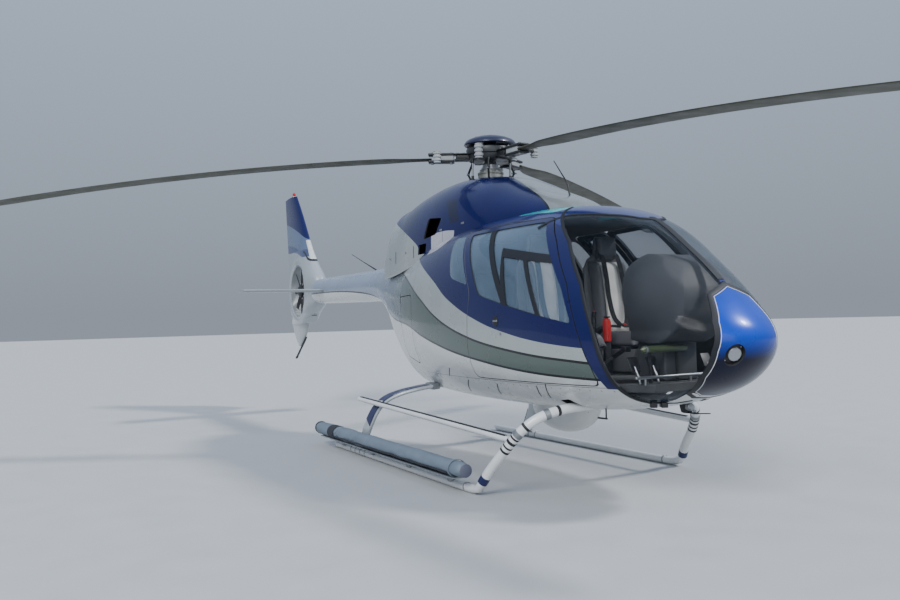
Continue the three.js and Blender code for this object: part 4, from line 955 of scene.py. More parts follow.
# The belly's keel between the two chin windows, seen from below
KEEL = np.array([[2440, 200], [2560, 200], [2720, 232], [2720, -232], [2560, -200], [2440, -200]], float)
QUARTER = rounded(QUARTER_WINDOW)
ROOF_PANES = [rounded([[x, y * side, r] for x, y, r in ROOF_WINDOW]) for _, side in SIDES]
SEAL_HALF = 15
# The polar chart's window round the nose cap, and the step of straight lines
NOSE_WINDOW, LINE_STEP = (-600, 600, -600, 600), 15


def in_cap(points, extra=0.0):
    return (points[:, 0] > CAP_X) & inside(points[:, 1:], rounded(grown(CAP, extra)) if extra else CAP)


def in_shield(points):
    keel = inside(points[:, :2], KEEL) & (points[:, 2] < CHIN_Z)
    return side_test(points, SHIELD) & inside(points[:, :2], FRONT_OF_ROOF) & ~keel


def roof_line(pitch=12):
    return hull_from_above(dense(ROOF_EDGE, pitch, False))


def shield_lines(side):
    return [side_line(SHIELD, side), roof_line(), hull_from_above(dense(KEEL, 12), -1)]


def seam_line(side):
    """The line between the belly tub and a side frame."""
    x = np.arange(BULKHEAD_X, 2840 + LINE_STEP, LINE_STEP)
    return hull_from_side(np.stack([x, np.full(len(x), SEAM_Z)], 1), side)


def cross_line(x):
    """The line round the fuselage at x, from one side of its top to the other."""
    angle = np.linspace(-math.pi * 1.5 + 1e-6, math.pi / 2 - 1e-6, 220)
    return np.full(len(angle), math.sqrt(NOSE_X - x)), angle, np.ones(len(angle), bool)


def plan_line(y, x0, x1, upper=1):
    """The line along the fuselage at y, seen from above (1) or below (-1)."""
    x = np.arange(x0, x1 + LINE_STEP, LINE_STEP)
    return hull_from_above(np.stack([x, np.full(len(x), y)], 1), upper)


def oval(extra=0.0):
    """The lamp opening in the nose cap, seen from the front."""
    turns = np.linspace(0, 2 * math.pi, 48)
    y, z, half, high = LAMP_HOLE
    return np.stack([y + (half + extra) * np.cos(turns), z + (high + extra) * np.sin(turns)], 1)


def build_lamp():
    rim = oval(14)
    surface_sheet("lamp_plate", "polar", [hull_from_front(rim)],
                  lambda p: (p[:, 0] > LAMP_X) & inside(p[:, 1:], rim[:-1]), NOSE_WINDOW, 10,
                  SKIN + 0.4, 15.0, [BLACK, BLACK], ["nose_lamp"])
    spot = hull_from_front(np.array([LAMP_HOLE[:2]]))[:2]
    axis = hull_normal(*spot)[0]
    at = hull_point(*spot)[0] - axis * 33
    lamp = Builder(STEEL, LAMP_WHITE, CLEAR)
    for kind, profile in enumerate(([(30, 0), (44, 1), (44, 21), (42, 24), (38, 23)],
                                    [(38, 22.5), (34, 13), (22, 6), (7, 3), (6, 10), (0.5, 13)],
                                    [(38.5, 20.5), (38, 23), (22, 25.5), (0.5, 26.5)])):
        lamp.add(lathe(profile, at, axis, 40), kind)
    for k in range(4):
        turn = math.pi * (k / 2 + 0.25)
        foot = hull_from_front(LAMP_HOLE[:2] + np.array([[54 * math.cos(turn), 58 * math.sin(turn)]]))[:2]
        lamp.add(lathe([(5, 0), (5, 3), (3, 4.5), (0.5, 4.8)], hull_point(*foot)[0] - axis * (SKIN + 1.5),
                       axis, 10))
    lamp.piece("landing_lamp")


def build_nose():
    surface_sheet("nose_cap_skin", "polar",
                  [hull_from_front(looped(dense(CAP, 10))), hull_from_front(oval())],
                  lambda p: in_cap(p) & ~inside(p[:, 1:], oval()[:-1]), NOSE_WINDOW, 14, 0, SKIN,
                  [CAP_BLUE, DARK_TRIM], ["nose_cap"])
    edge = hull_from_front(looped(dense(grown(CAP, SEAL_HALF * 2), 10)))
    for name, side in SIDES:
        def keep(p, side=side):
            clear = (p[:, 1] * side > POST_HALF) | ((p[:, 2] < POST_FOOT_Z) & (p[:, 1] * side > 0))
            return in_shield(p) & clear & ~in_cap(p, SEAL_HALF * 2)

        lines = shield_lines(side) + [edge, plan_line(side * POST_HALF, 2100, 3000),
                                      plan_line(0, 2500, 2800, -1)]
        surface_sheet("windshield_pane_" + name, "polar", lines, keep, (-1000, 1000, -1000, 1000), 20, 1.5,
                      GLASS, [SHIELD_GLASS, SHIELD_GLASS], ["windshield_" + name])

    def post(p):
        ok = in_shield(p) & (np.abs(p[:, 1]) < POST_HALF) & (p[:, 2] > POST_FOOT_Z)
        return ok & ~in_cap(p, SEAL_HALF * 2)

    lines = shield_lines(1) + shield_lines(-1)
    lines += [plan_line(s * POST_HALF, 2100, 3000) for s in (1, -1)] + [edge]
    surface_sheet("windshield_post_skin", "top", lines, post, (2150, 2900, -260, 260), 12, 0, SKIN,
                  [BLUE, DARK_TRIM], ["windshield_post"])


def build_cabin():
    # The belly's slots for the front cross tube
    slots = [rounded([[x, y * s, 25] for x, y in ((1748, 330), (1852, 330), (1846, 530), (1736, 530))])
             for s in (-1, 1)]
    aft = cross_line(BULKHEAD_X)
    lines = [seam_line(s) for s in (-1, 1)] + shield_lines(1) + shield_lines(-1) + [
        hull_from_front(looped(dense(CAP, 12))),
        aft] + [hull_from_above(dense(slot, 10), -1) for slot in slots]

    def tub(p):
        return (p[:, 2] < SEAM_Z) & (p[:, 0] > BULKHEAD_X) & ~in_shield(p) & ~in_cap(p) & ~(
            inside(p[:, :2], slots[0]) | inside(p[:, :2], slots[1]))

    surface_sheet("belly_tub_skin", "roll", lines, tub, (BULKHEAD_X - 40, 2900, -1000, 1000), 26, 0, SKIN,
                  [LIVERY, DARK_TRIM], ["belly_tub"])

    def roof(p):
        ok = (p[:, 2] > ROOF_Z) & (np.abs(p[:, 1]) < ROOF_EDGE_Y) & (p[:, 0] > BULKHEAD_X) & ~in_shield(p)
        for pane in ROOF_PANES:
            ok &= ~inside(p[:, :2], pane)
        return ok & ~side_test(p, DOOR_HOLE)

    lines = [side_line(o, s) for o in (DOOR_HOLE, SHIELD) for s in (-1, 1)] + [roof_line(), aft] + [
        plan_line(s * ROOF_EDGE_Y, BULKHEAD_X, 2200) for s in (-1, 1)] + [
        hull_from_above(dense(pane, 12)) for pane in ROOF_PANES]
    surface_sheet("roof_skin", "top", lines, roof, (BULKHEAD_X - 40, 2300, -900, 900), 30, 0, SKIN,
                  [BLUE, TRIM], ["roof_panel"])
    frame_outline = np.array([[BULKHEAD_X, 700], [2500, 700], [2500, 2300], [BULKHEAD_X, 2300]], float)
    for (name, side), outline in zip(SIDES, ROOF_PANES):
        surface_sheet("roof_pane_" + name, "top", [hull_from_above(dense(outline, 12))],
                      lambda p, o=outline: inside(p[:, :2], o), (1000, 1750, -900, 900), 24, 0.5, GLASS,
                      [TEAL_GLASS, TEAL_GLASS], ["roof_window_" + name])

        def wall(p, side=side):
            ok = (p[:, 1] * side > 0) & (p[:, 2] > SEAM_Z)
            ok &= (np.abs(p[:, 1]) > ROOF_EDGE_Y) | (p[:, 2] < ROOF_Z)
            return ok & (p[:, 0] > BULKHEAD_X) & ~in_shield(p) & ~in_cap(p) & ~side_test(
                p, DOOR_HOLE) & ~side_test(p, QUARTER)

        lines = [side_line(o, side) for o in (SHIELD, DOOR_HOLE, QUARTER)] + [
            plan_line(side * ROOF_EDGE_Y, BULKHEAD_X, 2200), seam_line(side), aft]
        surface_sheet("side_skin_" + name, "roll", lines, wall, side_window(frame_outline, side), 26, 0, SKIN,
                      [LIVERY, TRIM], ["side_frame_" + name])
        side_panel("quarter_pane_" + name, side, QUARTER, [], [SIDE_GLASS_PAINTED_SKY, SIDE_GLASS_PAINTED_SKY], 0.5, GLASS,
                   replaces=["quarter_window_" + name])


def build_door(name, side, outline, window, panes, body):
    outline, window, panes = rounded(outline), rounded(window), [rounded(p) for p in panes]
    side_panel(name + "_skin", side, outline, [window], [LIVERY, DARK_TRIM], replaces=[name], body=body)
    side_panel(name + "_window_frame", side, window, panes, [RUBBER, RUBBER], 1.0, GLASS_DEPTH - 1.3, 20,
               body=body)
    side_panel(name + "_pane", side, window, [], [SIDE_GLASS_PAINTED_SKY, SIDE_GLASS_PAINTED_SKY], GLASS_DEPTH, GLASS, 30,
               replaces=[name + "_glass"], body=body)


# Rear fuselage and boom

def top_lines(x0, x1):
    """Two lines along the top, one on each side of the roll chart's edge."""
    run = np.sqrt(NOSE_X - np.arange(x0, x1 + 1, (x1 - x0) / math.ceil((x1 - x0) / 30)))
    return [(run, np.full(len(run), math.pi / 2 + e), np.ones(len(run), bool)) for e in (1e-7, -1e-7)]


def body_length(name, replaced, x0, x1, pitch, hatches=()):
    """A length of the rear body, with hatches in its starboard side."""
    def keep(p):
        ok = (p[:, 0] > x0 - 0.1) & (p[:, 0] < x1 + 0.1)
        for hatch in hatches:
            ok &= ~side_test(p, hatch, -1)
        return ok

    around = math.pi * ROLL
    lines = [cross_line(x0), cross_line(x1), *top_lines(x0, x1)] + [side_line(hatch, -1) for hatch in hatches]
    surface_sheet(name, "roll", lines, keep, (x0, x1, -around, around - 1), pitch, 0, AFT_SKIN,
                  [LIVERY, DARK_TRIM], [replaced], merge=1e-5)


# The engine cowling: columns x, foot z, highest z, half width at the foot, squareness
COWL = np.array([
    [1420, 2080, 2185, 230, 2.2],
    [1300, 2080, 2270, 330, 2.4],
    [900, 2060, 2420, 440, 2.6],
    [500, 2040, 2570, 500, 2.8],
    [100, 2000, 2638, 525, 2.8],
    [-300, 1960, 2650, 530, 2.8],
    [-800, 1900, 2610, 500, 2.8],
    [-1200, 1860, 2550, 450, 2.8],
    [-1560, 1840, 2480, 400, 2.8],
    [-1680, 1840, 2080, 385, 2.8],
    [-1705, 1840, 1980, 300, 2.8],
], float)
COWL_KEYS = np.arange(len(COWL), dtype=float)
EXHAUST_Z, EXHAUST_RADIUS, INTAKE_Y, COWL_TOP_Z = 2260.0, 150.0, 300.0, 2500.0
# Millimetres of the cowling's chart to one row of its table, and to one radian
COWL_SCALE = (350, 500)


def cowl_point(t, angle):
    x, foot, top, half, square = np.moveaxis(smooth_rows(COWL_KEYS, COWL, t), -1, 0)
    c, s = np.cos(angle), np.sin(angle)
    power = 2 / np.where(s > 0, square, 10)
    return np.stack([x, half * signed(c, power), foot + np.where(s > 0, top - foot, 60) * signed(s, power)],
                    -1)


def cowl_normal(t, angle):
    return surface_normal(cowl_point, t, angle, 0.01)


CHARTS["cowl"] = (lambda t, angle: (COWL_SCALE[0] * t, COWL_SCALE[1] * angle),
                  lambda a, b: (a / COWL_SCALE[0], b / COWL_SCALE[1]), cowl_point, cowl_normal)


def above_hull(points):
    return spread(hull_section(run_at(points[:, 0])), points[:, 1], points[:, 2]) > 1


def cowl_foot(side):
    """The line on which the cowling meets the fuselage."""
    t = np.linspace(0, 10, 160)
    _, high = halved(np.full(len(t), -0.5), np.full(len(t), math.pi / 2),
                     lambda angle: above_hull(cowl_point(t, angle)))
    return t, high if side > 0 else math.pi - high, (high > -0.49) & (high < math.pi / 2 - 1e-3)


def on_cowl(targets, axes, allowed, count=300):
    """Parameters of the cowling's points whose two axes match the targets, by a search and Newton steps."""
    first, second = np.linspace(0, 10, count), np.linspace(-0.3, math.pi + 0.3, count)
    a, b = (g.ravel() for g in np.meshgrid(first, second, indexing="ij"))
    spots = cowl_point(a, b)
    ok = allowed(spots)
    a, b, spots = a[ok], b[ok], spots[ok][:, axes]
    near = np.argmin(np.linalg.norm(spots[None] - targets[:, None], axis=2), axis=1)
    a, b, h = a[near], b[near], 1e-4
    for _ in range(8):
        here = cowl_point(a, b)[:, axes]
        da, db = (cowl_point(a + h, b)[:, axes] - here) / h, (cowl_point(a, b + h)[:, axes] - here) / h
        miss = targets - here
        scale = da[:, 0] * db[:, 1] - da[:, 1] * db[:, 0]
        scale = np.where(np.abs(scale) < 1e-6, 1e-6, scale)
        a = a + np.clip((miss[:, 0] * db[:, 1] - miss[:, 1] * db[:, 0]) / scale, -0.2, 0.2)
        b = b + np.clip((da[:, 0] * miss[:, 1] - da[:, 1] * miss[:, 0]) / scale, -0.2, 0.2)
    return a, b, np.ones(len(a), bool)


INTAKE = rounded([[-425, 2095, 20], [-335, 2290, 35], [-55, 2262, 35], [-155, 2117, 20]])
SQUARE = rounded([[-545, 2055, 12], [-565, 1958, 12], [-380, 1958, 12], [-360, 2055, 12]])


def build_rear():
    body_length("rear_body_skin", "aft_fuselage", BOOM_X, BULKHEAD_X - SEAT_GAP, 45,
                [rounded(grown(BAGGAGE_DOOR, DOOR_GAP))])
    body_length("boom_skin", "tail_boom", BOOM_END_X, BOOM_X - SEAT_GAP, 60)
    side_panel("baggage_door_skin", -1, rounded(BAGGAGE_DOOR), [], [LIVERY, DARK_TRIM], 0, AFT_SKIN,
               body="baggage_door", replaces=["baggage_door"])
    lines = [cowl_foot(1), cowl_foot(-1)]
    for side in (-1, 1):
        for outline in (INTAKE, SQUARE):
            lines.append(on_cowl(looped(dense(outline, 10)), [0, 2],
                                 lambda p, s=side: (p[:, 1] * s > INTAKE_Y) & (p[:, 0] > -1500)))
    turns = np.linspace(0, 2 * math.pi, 60)
    round_hole = np.stack([np.cos(turns), np.sin(turns)], 1)
    lines.append(on_cowl(round_hole * EXHAUST_RADIUS + [0, EXHAUST_Z], [1, 2], lambda p: p[:, 0] < -1562))
    lines.append(on_cowl(round_hole * MAST_HOLE, [0, 1],
                         lambda p: (p[:, 2] > COWL_TOP_Z) & (p[:, 0] > -1000)))

    def keep(p):
        ok = above_hull(p) & ~((np.hypot(p[:, 1], p[:, 2] - EXHAUST_Z) < EXHAUST_RADIUS) & (p[:, 0] < -1500))
        ok &= ~((np.hypot(p[:, 0], p[:, 1]) < MAST_HOLE) & (p[:, 2] > COWL_TOP_Z))
        for outline in (INTAKE, SQUARE):
            ok &= ~(side_test(p, outline) & (np.abs(p[:, 1]) > INTAKE_Y))
        return ok

    surface_sheet("cowling_skin", "cowl", lines, keep, (0, 3500, -180, COWL_SCALE[1] * math.pi + 180), 26, 0,
                  AFT_SKIN, [COWL_PAINT, DARK_TRIM], ["engine_cowling"])
    pipe = lathe([(120, -1330), (132, -1340), (136, -1500), (137, -1846), (134, -1850), (126, -1850),
                  (124, -1840), (124, -1360)], (0, 0, EXHAUST_Z), (1, 0, 0), 48)
    # Without its two end faces
    Builder(SOOT).add((pipe[0], pipe[1][:-2])).piece("exhaust_sleeve", replaces=["exhaust_pipe"])


# Tail

FAN_X, FAN_Z, BEACON_X, FIN_TOP_Z = -5620.0, 1835.0, -6080.0, 3375.0
DUCT, SHROUD_FOOT, SHROUD_TOP = 400.0, 1330.0, 2470.0
FIN = [[2470, -5290, -6430, 170], [2700, -5450, -6460, 135], [3050, -5700, -6500, 105],
       [3375, -5965, -6535, 80]]
SHROUD = np.array([[1330, -5430, -6300, 190], [1440, -5230, -6330, 260], [1640, -4870, -6370, 330],
                   [1840, -4830, -6385, 345], [2000, -4870, -6385, 335], [2220, -5090, -6395, 260],
                   [2470, -5290, -6430, 170]], float)
LOWER_FIN = [[975, -5885, -5990, 30], [1137, -5640, -6170, 60], [1330, -5480, -6290, 110]]


def foil_half(u, thickness):
    return thickness * (1.48 * np.sqrt(u) - 0.63 * u - 1.76 * u ** 2 + 1.42 * u ** 3 - 0.48 * u ** 4) + 1.5


def foil_loft(rows, spot, pieces, chord=22, tip=0.0):
    """A wing from rows of span, leading edge, trailing edge and thickness, with a rounded tip of some length.

    spot(span, along, off) places its points.
    """
    rows = np.array(rows, float)
    u = (1 - np.cos(np.linspace(0, math.pi, chord))) / 2
    stations = [(span, 1.0) for span in np.linspace(rows[0, 0], rows[-1, 0], pieces)]
    if tip:
        stations += [(rows[-1, 0] + tip * math.sin(a), max(0.04, math.cos(a))) for a in (0.5, 0.9, 1.2, 1.5)]
    rings = []
    for span, scale in stations:
        lead, trail, thickness = smooth_rows(rows[:, 0], rows[:, 1:], np.array([min(span, rows[-1, 0])]))[0]
        inset = (1 - scale) * (trail - lead) * 0.06
        lead, trail = lead + inset, trail - inset
        half = foil_half(u, thickness) * scale
        along = lead + (trail - lead) * u
        rings.append([spot(span, a, h) for a, h in zip(along, half)]
                     + [spot(span, a, -h) for a, h in zip(along[::-1], half[::-1])])
    return loft(rings)


def build_tail():
    for name, replaced, rows, pieces, paint in (("fin_skin", "tail_fin", FIN, 20, FIN_PAINT),
                                                ("lower_fin_skin", "lower_fin", LOWER_FIN, 10, SILVER_PAINT)):
        wing = foil_loft(rows, lambda span, along, off: (along, off, span), pieces)
        Builder(paint).add(wing).piece(name, replaces=[replaced])

    def section(q, z):
        lead, trail, thickness = np.moveaxis(smooth_rows(SHROUD[:, 0], SHROUD[:, 1:], z), -1, 0)
        x = lead + (trail - lead) * q ** 2
        reach = np.hypot(x - FAN_X, z - FAN_Z)
        half = foil_half(np.clip(q, 0, 1) ** 2, thickness)
        cap = np.where(reach < DUCT + 80,
                       100 + 80 * np.sqrt(np.clip(1 - (1 - (reach - DUCT) / 80) ** 2, 0, 1)), 1e3)
        lip = 125 * np.sqrt(np.clip(1 - ((reach - DUCT - 55) / 110) ** 2, 0, 1))
        return x, np.maximum(np.minimum(half, cap), lip * (reach >= DUCT - 1)), z

    width = 1500.0
    z = np.arange(SHROUD_FOOT, SHROUD_TOP + 1, 19.0)
    q = np.linspace(0, 1, 70)
    turns = np.linspace(0, 2 * math.pi, 90)
    rings = []
    for radius in (DUCT, 406, 420, 445, 480, 520, 566):
        ring_x, ring_z = FAN_X + radius * np.cos(turns), FAN_Z + radius * np.sin(turns)
        lead, trail, _ = np.moveaxis(smooth_rows(SHROUD[:, 0], SHROUD[:, 1:], ring_z), -1, 0)
        share = (ring_x - lead) / (trail - lead)
        rings.append((np.sqrt(np.clip(share, 0, 1)), ring_z, (share > 0.001) & (share < 0.999)))
    lines = [(np.full(len(z), e), z, np.ones(len(z), bool)) for e in (0.0, 1.0)]
    lines += [(q, np.full(len(q), e), np.ones(len(q), bool)) for e in (SHROUD_FOOT, SHROUD_TOP)] + rings
    fixed, edges = chart_lines(lambda a, b: (a * width, b), lines, 30)

    def keep(p):
        x, _, height = section(p[:, 0] / width, p[:, 1])
        return (np.hypot(x - FAN_X, height - FAN_Z) > DUCT) & (p[:, 0] > 0) & (p[:, 0] < width) & (
            p[:, 1] > SHROUD_FOOT) & (p[:, 1] < SHROUD_TOP)

    flat, tris = flat_mesh(fixed, edges, keep, (0, width, SHROUD_FOOT, SHROUD_TOP), 30)
    x, half, height = section(flat[:, 0] / width, flat[:, 1])
    top, foot = np.stack([x, half, height], 1), np.stack([x, -half, height], 1)
    out = np.tile([0.0, 1.0, 0.0], (len(top), 1))
    ridden(shell("fan_shroud_skin", top, foot, tris, out, [SHROUD_PAINT, SHROUD_PAINT]),
           replaces=["fan_shroud"])

    beacon = Builder(RED_GLASS, STEEL)
    for kind, profile in enumerate(([(24, 9), (25.5, 12), (25, 44), (22, 60), (14, 70), (6, 73.4), (0.5, 74)],
                                    [(20, 0), (30, 0), (30, 12), (28, 16), (24, 16), (9, 17), (8, 50),
                                     (1, 52)])):
        beacon.add(lathe(profile, (BEACON_X, 0, FIN_TOP_Z + SEAT_GAP)), kind)
    beacon.piece("beacon_parts", replaces=["fin_beacon"])

    for name, side in SIDES:
        wing = foil_loft([[150, -4290, -4740, 42], [1278, -4290, -4740, 42]],
                         lambda s, a, h, side=side: (a, side * s, 1790 + h), 4, 22, 12)
        Builder(STABILIZER_PAINT).add(wing).piece("stabilizer_skin_" + name, replaces=["stabilizer_" + name])

    # The duct's liner, gear case and still vanes, and the fan in front of them
    hub, turns = (FAN_X, 0, FAN_Z), 2 * math.pi * np.arange(72) / 72
    ring = np.stack([np.cos(turns), np.zeros(72), np.sin(turns)], 1) * (DUCT - 6)
    still = Builder(DUCT_PAINT, BLACK)
    still.add(swept(ring + hub, [[-106, -5.5], [106, -5.5], [106, 5.5], [-106, 5.5]], ring, True))
    still.add(lathe([(30, -17.5), (88, -16), (92, -8), (92, 60), (88, 84), (70, 100), (40, 108), (6, 109)],
                    hub, (0, 1, 0), 40))
    vane = foil_loft([[80, -44, 44, 16], [DUCT - 7, -44, 44, 16]], lambda s, a, h: (s, 55 + a, h), 3, 12)
    for k in range(9):
        still.add(moved(turned(vane, (0, 2 * math.pi * k / 9, 0)), hub))
    still.piece("fan_stator_parts", replaces=["fan_stator"])
    fan = Builder(BLACK, STEEL)
    fan.add(lathe([(4, -112), (40, -110), (72, -102), (94, -84), (99, -50), (99, -20), (60, -18.5)], hub,
                  (0, 1, 0), 40))
    u = (1 - np.cos(np.linspace(0, math.pi, 9))) / 2
    half = foil_half(u, 9)
    rings = []
    for reach, pitch, chord in ((88, 0.95, 54), (160, 0.8, 60), (250, 0.62, 62), (330, 0.48, 60),
                                (367, 0.42, 54)):
        along, off = np.concatenate([u, u[::-1]]) * chord - 0.5 * chord, np.concatenate([half, -half[::-1]])
        c, s = math.cos(pitch), math.sin(pitch)
        rings.append(np.stack([np.full(18, reach), -50 + along * s + off * c, along * c - off * s], 1))
    for k in range(8):
        for shape, kind in ((loft(rings), 0), (tube([(84, -50, 0), (120, -50, 0)], 11, 12), 1)):
            fan.add(moved(turned(shape, (0, 2 * math.pi * k / 8, 0)), hub), kind)
    fan.piece("fan_rotor_parts", "tail_fan", ["fan_rotor"])
    edge = curve_through([[-5628, 0, 1120], [-5700, 0, 1062], [-5900, 0, 935], [-6060, 0, 830],
                          [-6140, 0, 778]], 30)
    guard = Builder(BLACK).add(swept(edge, circle(1, 12) * [9, 17], (0, 1, 0)))
    guard.add(swept(edge[-3:], circle(1, 12) * [10, 20], (0, 1, 0)))
    guard.piece("tail_guard", replaces=["tail_bumper"])


# Rotor

ROTOR = Matrix.Translation(JOINT_AT["main_rotor_spin"]) @ Matrix.Rotation(MAST_TILT, 4, "Y")


def on_rotor(points):
    """Points in millimetres round the hub's centre, with the mast upright, in the shared frame."""
    spots = np.asarray(points, float) / 1000
    return spots @ np.array(ROTOR.to_3x3()).T + np.array(ROTOR.translation)


DROOP, ROTOR_RADIUS = 400.0, 5000.0
BLADE = [[560, 120, 44], [760, 150, 40], [1000, 260, 30], [2000, 260, 28], [3000, 260, 26], [4000, 260, 24],
         [4700, 260, 22], [4985, 165, 14]]


ARM_END, SLEEVE_LENGTH = 340.0, 250.0
# Rubber blocks of the head, as distance along the arm, across it, radius, foot and top
ADAPTER = (500.0, 165.0, 37.0, -118.0, -4.0)
DAMPER = (215.0, 0.0, 44.0, -85.0, 52.0)
ROD_REACH, ROD_TURN = 205.0, math.radians(35)
SWASHPLATE = (150.0, 216.0, -297.0, -272.0)       # inner and outer radius, foot and top
THIRD = 2 * math.pi / 3


def ribbed(along, across, radius, low, high, ribs=3):
    """A ribbed rubber block between two plates, with a bolt on top."""
    step = (high - low - 20) / ribs
    profile = [(radius * 0.5, low), (radius - 4, low + 1), (radius - 4, low + 9)]
    for k in range(ribs):
        foot = low + 10 + k * step
        profile += [(radius - 9, foot), (radius - 9, foot + 0.2 * step), (radius, foot + 0.34 * step),
                    (radius, foot + 0.8 * step), (radius - 9, foot + 0.97 * step)]
    profile += [(radius - 4, high - 9), (radius - 4, high - 2), (radius - 7, high), (radius * 0.3, high)]
    return lathe(profile, (along, across, 0), sides=32)


def bolt(at, radius=9.0, height=9.0):
    """A hexagon bolt on its washer."""
    foot = lathe([(radius * 1.35, 0), (radius * 1.35, 2), (radius * 0.9, 2)], at, sides=14)
    head = lathe([(radius, 2), (radius, height - 1.5), (radius * 0.8, height), (0.4, height)], at, sides=6)
    return np.vstack([foot[0], head[0]]), foot[1] + [tuple(i + len(foot[0]) for i in f) for f in head[1]]


def build_head():
    head = Builder(HUB_METAL, RUBBER_GREY, STEEL, BLACK)
    head.add(lathe([(55, -90), (196, -90), (203, -84), (212, -42), (212, -34), (224, -28), (229, 18),
                    (222, 30), (60, 30)], sides=64))
    head.add(lathe([(58, -166), (85, -166), (85, -150), (74, -146), (74, -124), (64, -119), (56, -100),
                    (54, -92)],
                   sides=40), 2)
    inner, outer, low, high = SWASHPLATE
    head.add(lathe([(inner + 2, low + 4), (inner + 8, low), (outer - 8, low), (outer, low + 5),
                    (outer, low + 10),
                    (outer - 7, low + 12), (outer - 7, high - 6), (outer - 13, high), (inner + 6, high),
                    (inner, high - 5)], sides=64), 2)
    for k in range(3):
        turn = (0, 0, k * THIRD)
        shapes = [(block((150, -65, -24), (ARM_END, 65, -12), 5), 0),
                  (block((150, -65, -78), (ARM_END, 65, -66), 5), 0),
                  (block((60, -50, -68), (ARM_END - 14, 50, -22), 10), 3)]
        shapes += [(bolt((x, y, -12)), 2) for x in (252, 312) for y in (-42, 42)]
        # The pitch rod
        at = np.array([math.cos(ROD_TURN), math.sin(ROD_TURN), 0]) * ROD_REACH
        shapes.append((tube([at + [0, 0, low + 8], at + [0, 0, -90]], 9, 16, (1, 0, 0), 0), 2))
        shapes += [(lathe([(6, z - 17), (14, z - 14), (15, z), (14, z + 14), (6, z + 17)], at, sides=16), 3)
                   for z in (low + 24, -104)]
        shapes.append((lathe([(12, low + 40), (13, low + 42), (13, low + 56), (12, low + 58)], at,
                             sides=6), 0))
        # The scissor link between the hub and the swashplate
        at = at * [1, -1, 1]
        knee = at * 1.26 + [0, 0, -188]
        shapes += [(tube([a, (a + b) / 2, b], radius, 12), 3) for a, b, radius in (
            (at + [0, 0, -84], knee, 11), (knee, at * 1.01 + [0, 0, low + 12], 10))]
        shapes.append((tube([knee + [-9, 22, 0], knee + [9, -22, 0]], 8, 12), 2))
        shapes = [(turned(shape, turn), kind) for shape, kind in shapes]
        turn = (0, 0, (k + 0.5) * THIRD)
        shapes += [(turned(ribbed(*DAMPER), turn), 1), (turned(bolt((DAMPER[0], 0, 52), 11, 12), turn), 2)]
        shapes += [(turned(block((120, -30, z), (DAMPER[0] + 26, 30, z + 9), 4), turn), 0) for z in (-90, 43)]
        head.add_all(shapes)
    head.piece("rotor_head_parts", "main_rotor", ["rotor_hub"], on_rotor)
    crown = Builder(CROWN_PAINT, STEEL)
    crown.add(lathe([(60, 30.3), (60, 128), (108, 125), (204, 95), (237, 58), (244, 60), (250, 68), (247, 78),
                     (232, 99), (215, 112), (172, 130), (122, 144), (60, 149.5), (2, 150)], sides=72))
    for k in range(6):
        turn = (k + 0.5) * math.pi / 3
        crown.add(bolt((150 * math.cos(turn), 150 * math.sin(turn), 135), 7, 6), 1)
    crown.piece("hub_cap_skin", "main_rotor", ["hub_cap"], on_rotor)


def build_blades():
    def spot(span, along, off):
        return span, along, off - DROOP * (span / ROTOR_RADIUS) ** 2 - 55

    rows = [[r, -c / 2, c / 2, t / 2] for r, c, t in BLADE]
    start, end = ARM_END + SEAT_GAP, ARM_END + SEAT_GAP + SLEEVE_LENGTH
    for k in range(3):
        shapes = [(foil_loft(rows, spot, 64, 18, 14), 0),
                  (block((start, -56, -97), (end, 56, -74), 8), 2),
                  (block((start, -56, -30), (end, 56, -7), 8), 2),
                  (block((start + 4, -44, -80), (end - 50, 44, -24), 10), 3),
                  (ribbed(*ADAPTER), 3), (bolt((ADAPTER[0], ADAPTER[1], -5), 11, 10), 1)]
        shapes += [(block((ADAPTER[0] - 30, 50, z), (ADAPTER[0] + 30, ADAPTER[1] + 12, z + 12), 5), 2)
                   for z in (-72, -60)]
        shapes += [(bolt((x, y, -7), 10, 11), 1) for x in (372, 555) for y in (-30, 30)]
        shapes += [(lathe([(13, -104), (13, -97), (3, -97)], (x, y, 0), sides=12), 1)
                   for x in (372, 555) for y in (-30, 30)]
        blade = Builder(BLADE_PAINT, STEEL, HUB_METAL, RUBBER_GREY)
        blade.add_all((turned(shape, (0, 0, k * THIRD)), kind) for shape, kind in shapes)
        blade.piece(f"blade_{k + 1}_parts", "main_rotor", [f"blade_{k + 1}"], on_rotor)


def build_gearbox():
    """The gearbox below the mast, of which the top shows in the cowling's opening."""
    box = Builder(CAST, STEEL)
    box.add(lathe([(60, 2030), (236, 2032), (240, 2040), (228, 2150), (238, 2156), (238, 2176), (222, 2182),
                   (205, 2400), (216, 2406), (216, 2424), (196, 2430), (190, 2588), (150, 2592), (129, 2600),
                   (118, 2680), (124, 2684), (124, 2700), (106, 2706), (104, 2730), (60, 2730.6)], sides=48))
    for k in range(12):
        turn = math.pi * k / 6
        c, s = math.cos(turn), math.sin(turn)
        box.add(bolt((114 * c, 114 * s, 2700), 6, 8), 1)
        rib = block((116, -5, 2440), (186, 5, 2640), 4)
        box.add((np.array([[x - (z - 2440) * 0.28, y, z] for x, y, z in rib[0]]), rib[1]) if k % 2 else
                turned(block((150, -6, 2480), (200, 6, 2586), 4), (0, 0, turn)))
    box.piece("gearbox_parts", replaces=["gearbox"])


# Landing gear

